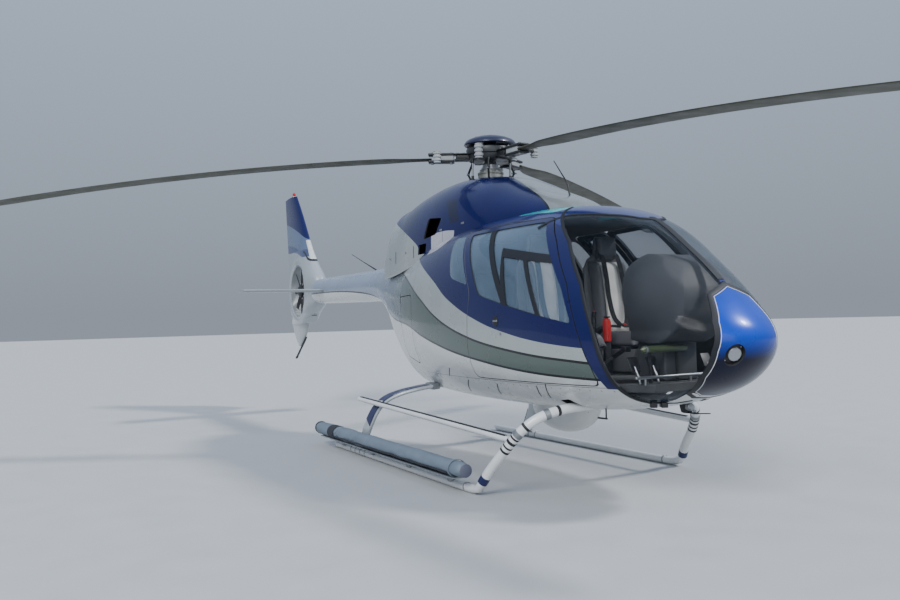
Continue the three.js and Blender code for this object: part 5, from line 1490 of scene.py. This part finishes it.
FRONT_TUBE = [[1372, 995, 97], [1437, 965, 195], [1510, 940, 280], [1574, 918, 352], [1636, 886, 432],
              [1690, 842, 503],
              [1732, 785, 560], [1762, 715, 600], [1784, 635, 626], [1796, 540, 642], [1800, 400, 652],
              [1800, 200, 656], [1800, 0, 656]]
REAR_BLADE = [[-1000, 986, 52], [-940, 980, 150], [-835, 965, 310], [-748, 925, 455], [-690, 860, 545],
              [-620, 760, 605], [-560, 620, 645], [-540, 400, 672], [-540, 0, 680]]
SKID = [[-1607, 999, 33], [600, 999, 33], [1138, 999, 33], [1262, 999, 38], [1338, 999, 56], [1374, 995, 100]]


def across(half):
    return half + [[x, -y, z] for x, y, z in half[-2::-1]]


def build_gear():
    line = curve_through(across(FRONT_TUBE), 25)
    front = Builder(GEAR_WHITE, NAVY_FACE, BLACK, STEEL)
    front.add(tube(line, 36, 24, (1, 0, 0)))
    for way in (line, line[::-1]):
        front.add(tube(part_of(way, 4, 58), 39, 24, (1, 0, 0), 0.1), 1)
        for at, half in ((340, 7), (379, 5), (425, 9), (466, 5), (580, 8), (848, 10)):
            front.add(tube(part_of(way, at - half, at + half), 38.5, 24, (1, 0, 0), 0.08), 2)
        for at in (500, 760):
            front.add(tube(part_of(way, at - 16, at + 16), 40, 24, (1, 0, 0), 0.1), 3)
    front.piece("front_tube", replaces=["front_cross_tube"])
    line = curve_through(across(REAR_BLADE), 25)
    flat = [[85 * np.sign(c) * abs(c) ** 0.6, 22 * np.sign(s) * abs(s) ** 0.8] for c, s in circle(1, 28)]
    up = unit(np.cross(np.gradient(line, axis=0), (1, 0, 0)))
    blade = Builder(GEAR_SILVER, NAVY_FACE, BLACK, STEEL)
    blade.add(loft([[p + [a, 0, 0] + n * b for a, b in flat] for p, n in zip(line, up)]))
    for way in (line, line[::-1]):
        face = part_of(way, 330, 1060)
        out = unit(np.cross(np.gradient(face, axis=0), (1, 0, 0)))
        out = out * np.sign(out[:, 2:] + out[:, 1:2] * np.sign(face[:, 1:2]))
        blade.add(swept(face + out * 21.4, [[-62, -1], [62, -1], [60, 2.4], [-60, 2.4]], out), 1)
        foot = part_of(way, 40, 300)
        blade.add(swept(foot + [-84, 0, 0], [[-3, -16], [3, -16], [3, 16], [-3, 16]], (1, 0, 0)), 2)
        blade.add(swept(part_of(way, 1085, 1150), [[-92, -30], [92, -30], [92, 30], [-92, 30]],
                        np.array([0, 0, 1])), 3)
    blade.piece("rear_blade", replaces=["rear_cross_blade"])
    for name, side in SIDES:
        skid = Builder(GEAR_WHITE, BLACK, STEEL)
        skid.add(mirrored(tube(curve_through(SKID, 60), 33, 20), side))
        if side < 0:
            skid.add(mirrored(block((-1760, 1035, 112), (1180, 1140, 124), 3), side), 2)
            for x in (-1350, -600, 200, 950):
                skid.add(mirrored(block((x - 25, 995, 50), (x + 25, 1050, 114), 6), side), 2)
        skid.add(mirrored(lathe([(33, 0), (31, 22), (22, 56), (9, 84), (0.5, 92)], (-1612, 999, 33),
                                (-1, 0, 0.1), 20), side))
        for x in (-1180, -1060, -940, -820, 1150):
            skid.add(mirrored(lathe([(33, -9), (36, -7), (36, 7), (33, 9)], (x, 999, 37.5), (1, 0, 0), 24),
                              side), 2)
        skid.add(mirrored(block((-1120, 968, 58), (-880, 1004, 74), 6), side), 2)
        for x in (-900, -300, 300, 900):
            skid.add(mirrored(block((x - 120, 988, 0.5), (x + 120, 1010, 4), 1.5), side), 2)
        skid.piece("skid_tube_" + name, replaces=["skid_" + name])
        step = Builder(GEAR_WHITE, BLACK)
        step.add(mirrored(tube([(-1020, 985, 550), (1606, 888, 431)], 24, 18), side))
        step.add(mirrored(block((-745, 885, 514), (-655, 955, 550), 8), side))
        tread = part_of(np.array([(-985, 983.5, 573), (1560, 890, 458)], float), 0, 2540, 80)
        step.add(mirrored(swept(tread, [[-13, -3], [13, -3], [13, 3], [-13, 3]], (0, 0, 1)), side), 1)
        step.piece("step_bar_" + name, replaces=["step_" + name])


BAG_REAR, BAG_FRONT, BAG_Y, BAG_Z, BAG_STRAP_X = -1935.0, 1295.0, -1086.0, 186.0, -1415.0
BAG_HALF, BAND_HALF = (72.0, 61.0), (75.0, 64.0)     # half width and half height, of the bag and its bands


def build_bag():
    rings = []
    for x in np.linspace(BAG_REAR, BAG_FRONT, 90):
        edge = min(x - BAG_REAR, BAG_FRONT - x)
        size = math.sqrt(max(0.02, 1 - max(0, 1 - edge / 90) ** 2))
        ring = []
        for k, (c, s) in enumerate(circle(1, 30)):
            turn = math.tau * k / 30
            crease = 0.075 * max(0.0, math.sin(x / 170 + 2 * turn + 0.9 * math.sin(x / 310))) ** 5
            cross = 0.055 * max(0.0, math.sin(x / 88 - 3 * turn + 1.0)) ** 5
            ripple = 0.012 * math.sin(x / 31 + 2.3 * k) + 0.01 * math.sin(x / 73 - 0.9 * k)
            fold = size * (1 + ripple - crease - cross)
            ring.append([x, BAG_Y + BAG_HALF[0] * c * fold, BAG_Z + BAG_HALF[1] * s * fold])
        rings.append(ring)
    made = Builder(VINYL).add(loft(rings)).piece("float_right", replaces=["float_bag_right"])
    puffed(made, 0.013, 3.0, 0.011, -0.09, lambda p: np.abs(p[:, 0] - x_at(BAG_STRAP_X)) < 0.09)
    straps = Builder(STRAP, BAG_CAP, VINYL)
    around = circle(1, 44)
    for middle, half, size, kind in ((BAG_STRAP_X, 85, 1.035, 0), (1150, 9, 1.03, 2)):
        path = np.array([[middle, BAG_Y + BAND_HALF[0] * size * c, BAG_Z + BAND_HALF[1] * size * s]
                         for c, s in around])
        section = [[-half, -2], [half, -2], [half, 1], [half - 2, 3], [2 - half, 3], [-half, 1]]
        out = np.array([[0, c / BAND_HALF[0], s / BAND_HALF[1]] for c, s in around])
        straps.add(swept(path, section, out, True), kind)
    straps.add(lathe([(60, -6), (68, 10), (64, 40), (44, 62), (20, 72), (0.5, 74)], (-1880, BAG_Y, BAG_Z),
                     (-1, 0, 0)))
    straps.add(lathe([(50, 0), (50, 6), (40, 12), (0.5, 13)], (1292, BAG_Y, BAG_Z), (1, 0, 0)), 1)
    # The edge of the bag's flap, low on its outer side
    c, s = math.cos(math.radians(-28)), math.sin(math.radians(-28))
    flap = [[x, BAG_Y - 77 * c, BAG_Z + 66 * s + 3 * math.sin(x / 60)] for x in np.arange(-1300, 1140, 20)]
    straps.add(swept(flap, [[-9, -3], [9, -3], [8, 2], [-8, 2]], (0, -c, s)))
    straps.piece("float_straps")


def build_fittings():
    turns = np.linspace(0, math.pi * 0.53, 26)
    shape = lathe([(max(0.002, math.sin(t)), -math.cos(t)) for t in turns], sides=56)
    pod = Builder(POD_PAINT, STEEL)
    pod.add((shape[0] * [400, 190, 222] + [1080, 0, 585], shape[1]))
    for k in range(10):
        turn = 2 * math.pi * (k + 0.5) / 10
        spot = np.array([1080 + 391 * math.cos(turn), 186 * math.sin(turn), 555])
        pod.add(lathe([(6, -3), (6, 3), (3, 4.5), (0.5, 4.8)], spot,
                      (math.cos(turn) / 400, math.sin(turn) / 190, 0), 10), 1)
    pod.piece("belly_pod_skin", replaces=["belly_pod"])
    lamp = Builder(BLACK, STEEL, LAMP_WHITE, CLEAR)
    lamp.add(prism([(2165, 700), (2168, 640), (2182, 598), (2200, 592), (2245, 592), (2245, 612), (2232, 640),
                    (2245, 700)],
                   207, 257, 1, 3))
    lamp.add(lathe([(20, 0), (30, 4), (30, 34), (27, 36)], (2228, 232, 636), (1, 0, 0), 32), 1)
    lamp.add(lathe([(27, 0), (24, 12), (16, 21), (6, 25), (0.5, 26)], (2262, 232, 636), (1, 0, 0), 32), 3)
    lamp.add(lathe([(26, 1), (10, -6), (0.5, -7)], (2262, 232, 636), (1, 0, 0), 32), 2)
    lamp.add(block((2225, 214, 592), (2330, 250, 599), 3))
    lamp.add(tube([(2320, 232, 596), (2440, 232, 606)], 4, 10))
    lamp.add(lathe([(3, 0), (11, 4), (13, 12), (10, 20), (0.5, 24)], (2292, 232, 599), sides=20), 1)
    lamp.piece("belly_lamp_parts", replaces=["belly_lamp"])
    aerial = Builder(BLACK)
    aerial.add(tube([(1951, -287, 655), (1951, -287, 570)], 6, 10, (1, 0, 0)))
    aerial.add(tube([(1860, -287, 566), (1960, -287, 568)], 7, 10))
    aerial.piece("belly_aerial")


# Cabin furnishing

HOOD = rounded([[2150, 1130, 0], [2440, 1100, 60], [2680, 1250, 80], [2720, 1450, 80], [2600, 1640, 60],
                [2400, 1715, 60], [2200, 1735, 30], [2150, 1690, 20]])


def half_at(x, z):
    """The fuselage's half width at x, z."""
    section = hull_section(math.sqrt(NOSE_X - x))
    power, reach = quarter(section, z > section[3])
    return section[2] * max(0.0, 1 - (abs(z - section[3]) / reach) ** power) ** (1 / power)


def in_hood(p):
    dome_half = 400 - 165 * np.clip((1660 - p[:, 2]) / 470, 0, 1)
    dome = ((p[:, 0] - 2360) / 560) ** 2 + (p[:, 1] / dome_half) ** 2 + ((p[:, 2] - 1280) / 480) ** 2
    clear = spread(hull_section(run_at(p[:, 0])), p[:, 1], p[:, 2], 52) < 1
    return inside(p[:, [0, 2]], HOOD) & (dome < 1) & clear


def dial(panel, y, z, radius, turn):
    """A round instrument on the panel, facing the seats, with twelve marks and a hand."""
    at = (2141, y, z)
    panel.add(lathe([(radius - 8, 0), (radius, 0), (radius, 5), (radius - 3, 8), (radius - 8, 5)], at,
                    (-1, 0, 0), 32), 1)
    panel.add(lathe([(radius - 7, 0), (radius - 7, 2)], at, (-1, 0, 0), 32), 2)
    for k in range(12):
        mark = block((-4, -1.2, radius - 17), (-2, 1.2, radius - 10), 0.4, 1)
        panel.add(moved(turned(mark, (k * math.pi / 6, 0, 0)), at), 4)
    panel.add(moved(turned(block((-5, -1.6, -8), (-3.5, 1.6, radius - 15), 0.4, 1), (turn, 0, 0)), at), 4)


def build_panel():
    centre, turns = np.array([2385.0, 0.0, 1400.0]), np.linspace(0, 2 * math.pi, 110)[:-1]
    rings = []
    for lean in np.linspace(0.015, math.pi - 0.015, 74):
        ways = np.stack([math.sin(lean) * np.cos(turns), math.sin(lean) * np.sin(turns),
                         np.full(109, math.cos(lean))], 1)
        reach, _ = halved(np.zeros(109), np.full(109, 690.0),
                          lambda r: ~in_hood(centre + ways * r[:, None]), 22)
        rings.append(centre + ways * reach[:, None])
    panel = Builder(HOOD_COVER, BLACK, SCREEN, STEEL, MARKS)
    panel.add(loft(rings))
    panel.add(block((2151, -150, FLOOR_Z + SEAT_GAP), (2420, 150, 1182), 16))
    panel.add(prism([(-200, 1345), (200, 1345), (262, 1480), (215, 1610), (-215, 1610), (-262, 1480)], 2141,
                    2153, 0, 2), 1)
    for k, y in enumerate((-165, -58, 58, 165)):
        dial(panel, y, 1545, 42, 0.7 + k * 1.3)
        if k in (0, 3):
            dial(panel, y * 0.94, 1430, 40, 2.1 + k)
    panel.add(block((2134, -108, 1372), (2142, 108, 1490), 3),
              1).add(block((2132.6, -98, 1382), (2135, 98, 1480), 1), 2)
    for k, z in enumerate((900, 962, 1024, 1086)):
        panel.add(block((2144, -118, z), (2153, 118, z + 54), 3), 1)
        panel.add(block((2142.4, -66, z + 14), (2145, 50, z + 42), 1), 2)
        for y in ((-96, 84, 104) if k % 2 else (-96, 84)):
            panel.add(lathe([(9, 0), (9, 9), (7, 12), (0.5, 12)], (2144, y, z + 27), (-1, 0, 0), 18), 3)
    panel.piece("instrument_panel_parts", replaces=["instrument_panel"])


def build_cabin_shell():
    floor = Builder(CARPET, STEEL, BLACK)
    x = np.linspace(-394, 2538, 40)
    edge = np.array([min(599, half_at(v, 793) - 26) for v in x])
    outline = np.vstack([np.stack([x, -edge], 1), np.stack([x, edge], 1)[::-1]])
    floor.add(prism(outline, 793, 848, 2, 2))
    # Seat rails and ribbed heel plates
    for y in (-SEAT_Y - 150, -SEAT_Y + 150, SEAT_Y - 150, SEAT_Y + 150):
        floor.add(block((1270, y - 14, 846), (1830, y + 14, 850), 1.5), 1)
    for y in (-SEAT_Y, SEAT_Y):
        floor.add(block((2080, y - 150, 847), (2330, y + 150, 850), 1.5), 2)
        for x in range(2100, 2301, 40):
            floor.add(block((x, y - 135, 849), (x + 10, y + 135, 852), 1.5), 2)
    # The front rail
    floor.add(tube([(2500, -480, 893), (2500, 480, 893)], 11, 16), 1)
    for y in (-400, 0, 400):
        floor.add(tube([(2500, y, 846), (2500, y, 893)], 8, 12, (1, 0, 0)), 1)
    floor.piece("cabin_floor_parts", replaces=["cabin_floor"])
    turns = np.linspace(0, 2 * math.pi, 120)[:-1]
    run = np.full(119, math.sqrt(NOSE_X - BULKHEAD_X))
    ring = (hull_point(run, turns) - hull_normal(run, turns) * 25.5)[:, 1:]
    wall = Builder(TRIM, BENCH_LEATHER)
    wall.add(prism(ring, -419.5, -397, 0, 2))
    for y in (-480, -160, 160):
        for z in (1090, 1430):
            wall.add(block((-400, y + 8, z), (-388, y + 312, z + 325), 6), 1)
    wall.piece("rear_bulkhead_parts", replaces=["rear_bulkhead"])


def pad(length, half, thick, bump=26.0, crown=16.0):
    """A seat pad standing on end: back at x 0, front to +X, with raised bolsters at its sides."""
    rings = []
    y = np.linspace(-1, 1, 27)
    side = np.clip(1 - np.clip((np.abs(y) - 0.8) / 0.2, 0, 1) ** 2, 0.03, 1) ** 0.5
    for v in np.linspace(-1, 1, 31):
        end = math.sqrt(max(0.03, 1 - max(0.0, (abs(v) - 0.84) / 0.16) ** 2))
        width = half * (1 - 0.05 * math.cos(math.pi * v / 2))
        bolster = bump * end * np.exp(-((np.abs(y) - 0.74) / 0.17) ** 2)
        front = thick * end * side + crown * (1 - y ** 2) * (1 - v * v) + bolster
        back = thick * 0.25 * (1 - end * side[::-4])
        rings.append([[f, width * q, v * length / 2] for f, q in zip(front, y)]
                     + [[b, width * q, v * length / 2] for b, q in zip(back, y[::-4])])
    return loft(rings)


def puffed(piece, voxel, pressure=4.0, cap=0.012, shrink=0.0, held=None):
    """Swells a closed piece as padded cloth, with held(points) telling which points stay."""

    def settled():
        mesh = bpy.data.meshes.new_from_object(piece.evaluated_get(bpy.context.evaluated_depsgraph_get()))
        piece.modifiers.clear()
        piece.data = mesh

    remesh = piece.modifiers.new("remesh", "REMESH")
    remesh.mode, remesh.voxel_size = "VOXEL", voxel
    settled()
    count = len(piece.data.vertices)
    start = np.empty(count * 3)
    piece.data.vertices.foreach_get("co", start)
    start = start.reshape(-1, 3)
    cloth = piece.modifiers.new("cloth", "CLOTH").settings
    cloth.quality, cloth.mass = 5, 0.3
    cloth.use_pressure, cloth.uniform_pressure_force = True, pressure
    cloth.shrink_min = shrink
    cloth.effector_weights.gravity = 0
    if held:
        group = piece.vertex_groups.new(name="held")
        group.add([int(i) for i in np.flatnonzero(held(start))], 1.0, "REPLACE")
        cloth.vertex_group_mass = "held"
    for k in range(1, 21):
        bpy.context.scene.frame_set(k)
    settled()
    end = np.empty(count * 3)
    piece.data.vertices.foreach_get("co", end)
    way = end.reshape(-1, 3) - start
    size = np.linalg.norm(way, axis=1)[:, None]
    piece.data.vertices.foreach_set("co", (start + way * np.minimum(1, cap / np.maximum(size, 1e-9))).ravel())
    bpy.context.scene.frame_set(1)
    piece.vertex_groups.clear()
    piece.modifiers.new("smooth", "SUBSURF").levels = 1
    settled()
    piece.data.shade_smooth()
    return piece


def padded_piece(name, shape, material, voxel, copies):
    """A padded piece and its copies, each (name, offset in mm)."""
    piece = puffed(Builder(material).add(shape).piece(name), voxel)
    for other, by in copies:
        twin = bpy.data.objects.new(other, piece.data.copy())
        bpy.context.scene.collection.objects.link(twin)
        twin.data.transform(Matrix.Translation(Vector(by) / 1000))
        ridden(twin)


def front_shell(y):
    """The hard back, base and runners of a front seat."""
    rings = []
    for z, x, half in ((1010, -232, 180), (1060, -236, 212), (1250, -262, 226), (1500, -290, 232),
                       (1700, -308, 222),
                       (1780, -314, 176), (1815, -318, 112), (1880, -322, 92), (1940, -326, 88),
                       (1970, -328, 64)):
        t = np.linspace(0, 2 * math.pi, 37)[:-1]
        c, s = np.cos(t), np.sin(t)
        across = half * np.sign(s) * np.abs(s) ** 0.55
        wing = 34 * np.clip(np.abs(across) / half - 0.55, 0, 1) ** 1.5 * (z < 1800)
        rings.append(np.stack([1530 + x + 20 * np.sign(c) * np.abs(c) ** 0.7 + wing, y + across,
                               np.full(36, z)], 1))
    shapes = [(loft(rings), 0),
              (prism([(1305, 1046), (1320, 905), (1345, 868), (1720, 868), (1755, 905), (1775, 1046)],
                     y - 185, y + 185, 1, 6), 0)]
    shapes += [(block((1300, y + d - 16, 850.6), (1760, y + d + 16, 872), 3), 1) for d in (-150, 150)]
    return shapes


def belts(y):
    """Two shoulder straps, a lap strap and the buckle of a front seat."""
    web = [[-24, -1.2], [24, -1.2], [24, 1.2], [-24, 1.2]]
    shapes = []
    for side in (-1, 1):
        path = [(1206, side * 70, 1835), (1248, side * 74, 1842), (1300, side * 78, 1800),
                (1352, side * 84, 1640),
                (1384, side * 86, 1450), (1418, side * 66, 1290), (1452, side * 26, 1222)]
        shapes.append((swept(curve_through([(x, y + a, z) for x, a, z in path], 14), web, (1, 0, 0.4)), 0))
        path = [(1340, side * 214, 1130), (1362, side * 208, 1190), (1400, side * 150, 1222),
                (1446, side * 30, 1219)]
        shapes.append((swept(curve_through([(x, y + a, z) for x, a, z in path], 12), web, (0.5, 0, 1)), 0))
    shapes.append((moved(turned(block((-34, -30, -9), (34, 30, 9), 7), (0, 0.35, 0)), (1460, y, 1226)), 1))
    shapes.append((moved(lathe([(17, 0), (17, 5), (12, 8), (0.5, 8)], (0, 0, 0), (0.34, 0, 0.94), 20),
                         (1463, y, 1234)), 2))
    return shapes


def build_seats():
    for name, side in SIDES:
        Builder(SHELL_GREY, STEEL).add_all(front_shell(side * SEAT_Y)).piece(
            "seat_shell_" + name, replaces=["seat_" + name])
        Builder(WEBBING, BLACK, RED).add_all(belts(side * SEAT_Y)).piece("belts_" + name)
    lying = (0, -math.pi / 2, 0)
    for name, shape, voxel, cover in (
            ("seat_cushion", moved(turned(pad(490, 222, 78), lying), (1552, -SEAT_Y, 1066)), 0.013,
             SEAT_LEATHER),
            ("seat_back", moved(turned(pad(700, 196, 62), (0, -0.13, 0)), (1268, -SEAT_Y, 1425)), 0.013,
             SEAT_LEATHER),
            ("head_pad", moved(turned(pad(190, 104, 50, 6, 22), (0, -0.06, 0)), (1226, -SEAT_Y, 1870)), 0.009,
             HEAD_LEATHER)):
        padded_piece(name + "_right", shape, cover, voxel, [(name + "_left", (0, 2 * SEAT_Y, 0))])
    base = Builder(SHELL_GREY, STEEL)
    base.add(prism([(-28, 1044), (-20, 870), (0, 852), (410, 852), (432, 880), (440, 1044)], -478, 478, 1, 8))
    base.add(prism([(-52, 1046), (-138, 1560), (-132, 1796), (-122, 1798), (-100, 1560), (-26, 1046)],
                   -508, 508, 1, 4))
    base.piece("bench_base", replaces=["rear_bench"])
    for name, shape in (("bench_cushion", moved(turned(pad(480, 168, 84, 10, 20), lying), (222, -340, 1062))),
                        ("bench_back",
                         moved(turned(pad(680, 168, 62, 8, 18), (0, -0.14, 0)), (-78, -340, 1420)))):
        padded_piece(name + "_right", shape, BENCH_LEATHER, 0.014,
                     [(name + "_middle", (0, 340, 0)), (name + "_left", (0, 680, 0))])


def build_controls():
    for name, side in SIDES:
        y = side * SEAT_Y
        stick = Builder(BLACK, RED, RUBBER)
        path = curve_through([(1960, y, 851), (1960, y, 900), (1980, y, 990), (1900, y, 1180),
                              (1900, y, 1240)], 14)
        stick.add(tube(path, 11, 16, (0, 1, 0)))
        grip = curve_through([(1900, y, 1225), (1896, y, 1270), (1898, y, 1310), (1906, y, 1336)], 6)
        sizes = 1 + 0.08 * np.sin(np.linspace(0, 8 * math.pi, len(grip))) + np.linspace(0, 0.25, len(grip))
        stick.add(swept(grip, circle(15, 18), (0, 1, 0), sizes=sizes))
        stick.add(lathe([(5, 0), (5, 5), (3, 7), (0.5, 7)], (1912, y + side * 6, 1338), (0.3, 0, 1), 14), 1)
        stick.add(lathe([(58, 0), (60, 4), (46, 16), (49, 24), (36, 36), (39, 44), (27, 56), (29, 62),
                         (14, 72), (11, 74)],
                        (1960, y, 850.6), sides=36), 2)
        stick.piece("cyclic_parts_" + name, replaces=["cyclic_stick_" + name])
        pedals = Builder(STEEL, BLACK)
        for d in (-80, 80):
            pedals.add(tube([(2462, y + d, 852), (2444, y + d, 900), (2412, y + d, 960)], 8, 12, (0, 1, 0)))
            plate = moved(turned(block((-5, -42, -52), (5, 42, 52), 4), (0, -0.45, 0)), (2402, y + d, 978))
            pedals.add(plate, 1)
        pedals.piece("pedals_" + name)
    lever = Builder(BLACK, STEEL, RUBBER)
    lever.add(tube(curve_through([(1440, -62, 868), (1600, -62, 915), (1760, -62, 985), (1800, -62, 1004)],
                                 20), 11, 16), 1)
    lever.add(swept(curve_through([(1790, -62, 1000), (1900, -62, 1050)], 10), circle(17, 18)))
    lever.add(block((1895, -90, 1036), (1950, -34, 1078), 8))
    lever.add(block((1410, -90, 849), (1500, -34, 892), 8), 2)
    lever.piece("collective_lever")
    items = Builder(GREEN, RED, STEEL, BLACK)
    items.add(tube([(2455, -372, 1074), (2455, 0, 1074)], 24, 24, ends=0.8))
    items.add(lathe([(24.5, 0), (26, 2), (26, 16), (24.5, 18)], (2455, -360, 1074), (0, 1, 0), 28), 2)
    items.add(lathe([(12, 0), (12, 20), (7, 24), (0.5, 24)], (2455, 8, 1074), (0, 1, 0), 20), 3)
    for y in (-300, -60):
        items.add(block((2430, y - 9, 840), (2445, y + 9, 1070), 2), 3)
    items.add(lathe([(26, 0), (32, 6), (32, 150), (27, 172), (14, 182), (10, 184), (10, 196), (0.5, 196)],
                    (1640, 0, 1106), sides=36), 1)
    items.add(block((1618, -14, 1290), (1668, 14, 1304), 5),
              3).add(block((1628, -30, 846), (1652, 30, 1110), 4), 3)
    items.piece("cabin_bottles")


# Seals, slots and small fittings

SLOTS = [[(329, 891), (219, 816)], [(593, 798), (365, 681)], [(861, 748), (868, 742)],
         [(1079, 794), (965, 699)],
         [(1624, 808), (1567, 721)], [(1741, 828), (1661, 714)], [(-1003, 1594), (-989, 1491)]]
COWL_SLOTS = [[(-1252, 2051), (-1250, 1924)], [(-678, 2058), (-676, 1939)]]


def cowl_from_side(points, side):
    return on_cowl(np.asarray(points, float), [0, 2], lambda p: p[:, 1] * side > 60, 200)


def build_seals():
    rubber, white = Builder(RUBBER), Builder(GEAR_WHITE)
    foot = [[2400, 712], [2480, 708], [2600, 735]]
    line = dense([p[:2] for p in PILLAR_FRONT[::-1]] + foot, 22, False)
    for side in (-1, 1):
        rubber.add(strip(hull_from_side(line, side), 13, 4))
    rubber.add(strip(hull_from_front(dense(grown(CAP, SEAL_HALF), 14)), SEAL_HALF + 1.5, 2, closed=True))
    rubber.add(strip(roof_line(20), 12, 4))
    rubber.add(strip(plan_line(0, 2180, 2790), POST_HALF + 4, 3))
    rubber.piece("glass_seals")
    # A thin white line round the nose cap's edge: a painted highlight where light catches that edge
    white.add(strip(hull_from_front(dense(grown(CAP, -4), 14)), 2.2, 2.5, closed=True))
    white.piece("cap_edge_highlight")
    for node_name, name, x, z, side in (("door_right", "right", 1246, 1290, -1),
                                        ("door_left", "left", 1450, 1290, 1),
                                        ("airframe", "sliding", 1190, 1270, 1)):
        handle = Builder(BLACK, STEEL)
        spot, out = on_hull(x, z, side)
        handle.add(seated(lathe([(40, -2), (40, 1.5), (37, 3), (34, 0.6), (1, 0.6)], sides=40), spot, out))
        handle.add(seated(block((-30, -8, 0), (30, 8, 8), 4), spot, out), 1)
        spot, out = on_hull(x + 65, z - 100, side)
        handle.add(seated(lathe([(11, -2), (11, 2), (8, 3), (0.5, 3)], sides=20), spot, out), 1)
        handle.piece("door_handle_" + name, node_name)
    marks = Builder(BLACK, STEEL)
    for side in (-1, 1):
        for line in SLOTS:
            marks.add(strip(side_line(line, side, 10, False), 5, 1.6))
        for line in COWL_SLOTS:
            marks.add(strip(cowl_from_side(dense(line, 12, False), side), 7, 1.6, "cowl"))
        for x, z in ((-58, 2147), (331, 2166), (-900, 2010), (-1450, 1990)):
            t, turn, _ = cowl_from_side([(x, z)], side)
            marks.add(seated(block((-22, -9, -1), (22, 9, 4), 2), cowl_point(t, turn)[0],
                             cowl_normal(t, turn)[0]), 1)
    for x, y, half in ((2403, -250, 24), (2436, -190, 36)):
        marks.add(moved(turned(block((-22, -half, -10), (22, half, 26), 4), (0, 0, 1.05)), (x, y, 690)))
    marks.piece("slots_and_latches")
    aerials = Builder(BLACK, GEAR_WHITE)
    whip = curve_through([(1225, 0, 2305), (1198, 0, 2400), (1110, 0, 2515), (1020, 0, 2625)], 20)
    aerials.add(swept(whip, circle(5, 10), (0, 1, 0), sizes=np.linspace(1.6, 0.7, len(whip))))
    aerials.add(swept([(-2790, 0, 1950), (-2817, 0, 1975), (-3200, 0, 2098), (-3618, 0, 2237)], circle(5, 10),
                      (0, 1, 0), sizes=[3, 2, 1, 0.7]))
    aerials.piece("whip_aerials")


def build_stage():
    world = bpy.data.worlds.new("studio")
    bpy.context.scene.world = world
    world.use_nodes = True
    tree = world.node_tree
    height = node(tree, "SeparateXYZ", {0: node(tree, "TexCoord").outputs["Generated"]}).outputs[2]
    color = mixed(tree, mapped(tree, height, 0.02, 0.75, 0, 1), (0.30, 0.34, 0.40), (0.62, 0.76, 1.0))
    tree.links.new(color, tree.nodes["Background"].inputs[0])
    tree.nodes["Background"].inputs[1].default_value = 0.95
    for name, energy, angles, size in (("key", 2.6, (46, 0, 140), 6), ("near", 2.4, (52, 0, 38), 24),
                                       ("low", 0.7, (82, 0, 75), 40)):
        light = bpy.data.lights.new(name, "SUN")
        light.energy, light.angle = energy, math.radians(size)
        lamp = bpy.data.objects.new(name, light)
        lamp.rotation_euler = [math.radians(a) for a in angles]
        bpy.context.scene.collection.objects.link(lamp)
    floor = new_object("floor", [(-150, -150, 0), (150, -150, 0), (150, 150, 0), (-150, 150, 0)],
                       [(0, 1, 2, 3)],
                       [finish("floor", linear(172, 174, 176), 0.85, grain=40, bump=0.02, mottle=0.02)])


add_camera()
build_nose()
build_lamp()
build_cabin()
build_door("door_right", -1, DOOR_RIGHT, WINDOW_RIGHT, PANES_RIGHT, "door_right")
build_door("door_left", 1, DOOR_LEFT, WINDOW_LEFT, PANES_LEFT, "door_left")
build_door("sliding_door", 1, SLIDING_DOOR, WINDOW_SLIDING, [PANE_SLIDING], "airframe")
build_rear()
build_tail()
build_head()
build_blades()
build_gearbox()
build_gear()
build_fittings()
build_bag()
build_panel()
build_cabin_shell()
build_seats()
build_controls()
build_seals()
build_stage()

# The solids that no piece stands for, such as the engine block
for made in frame["nodes"].values():
    if not made.data.materials or made.data.materials[0] is None:
        made.data.materials.clear()
        made.data.materials.append(CAST)
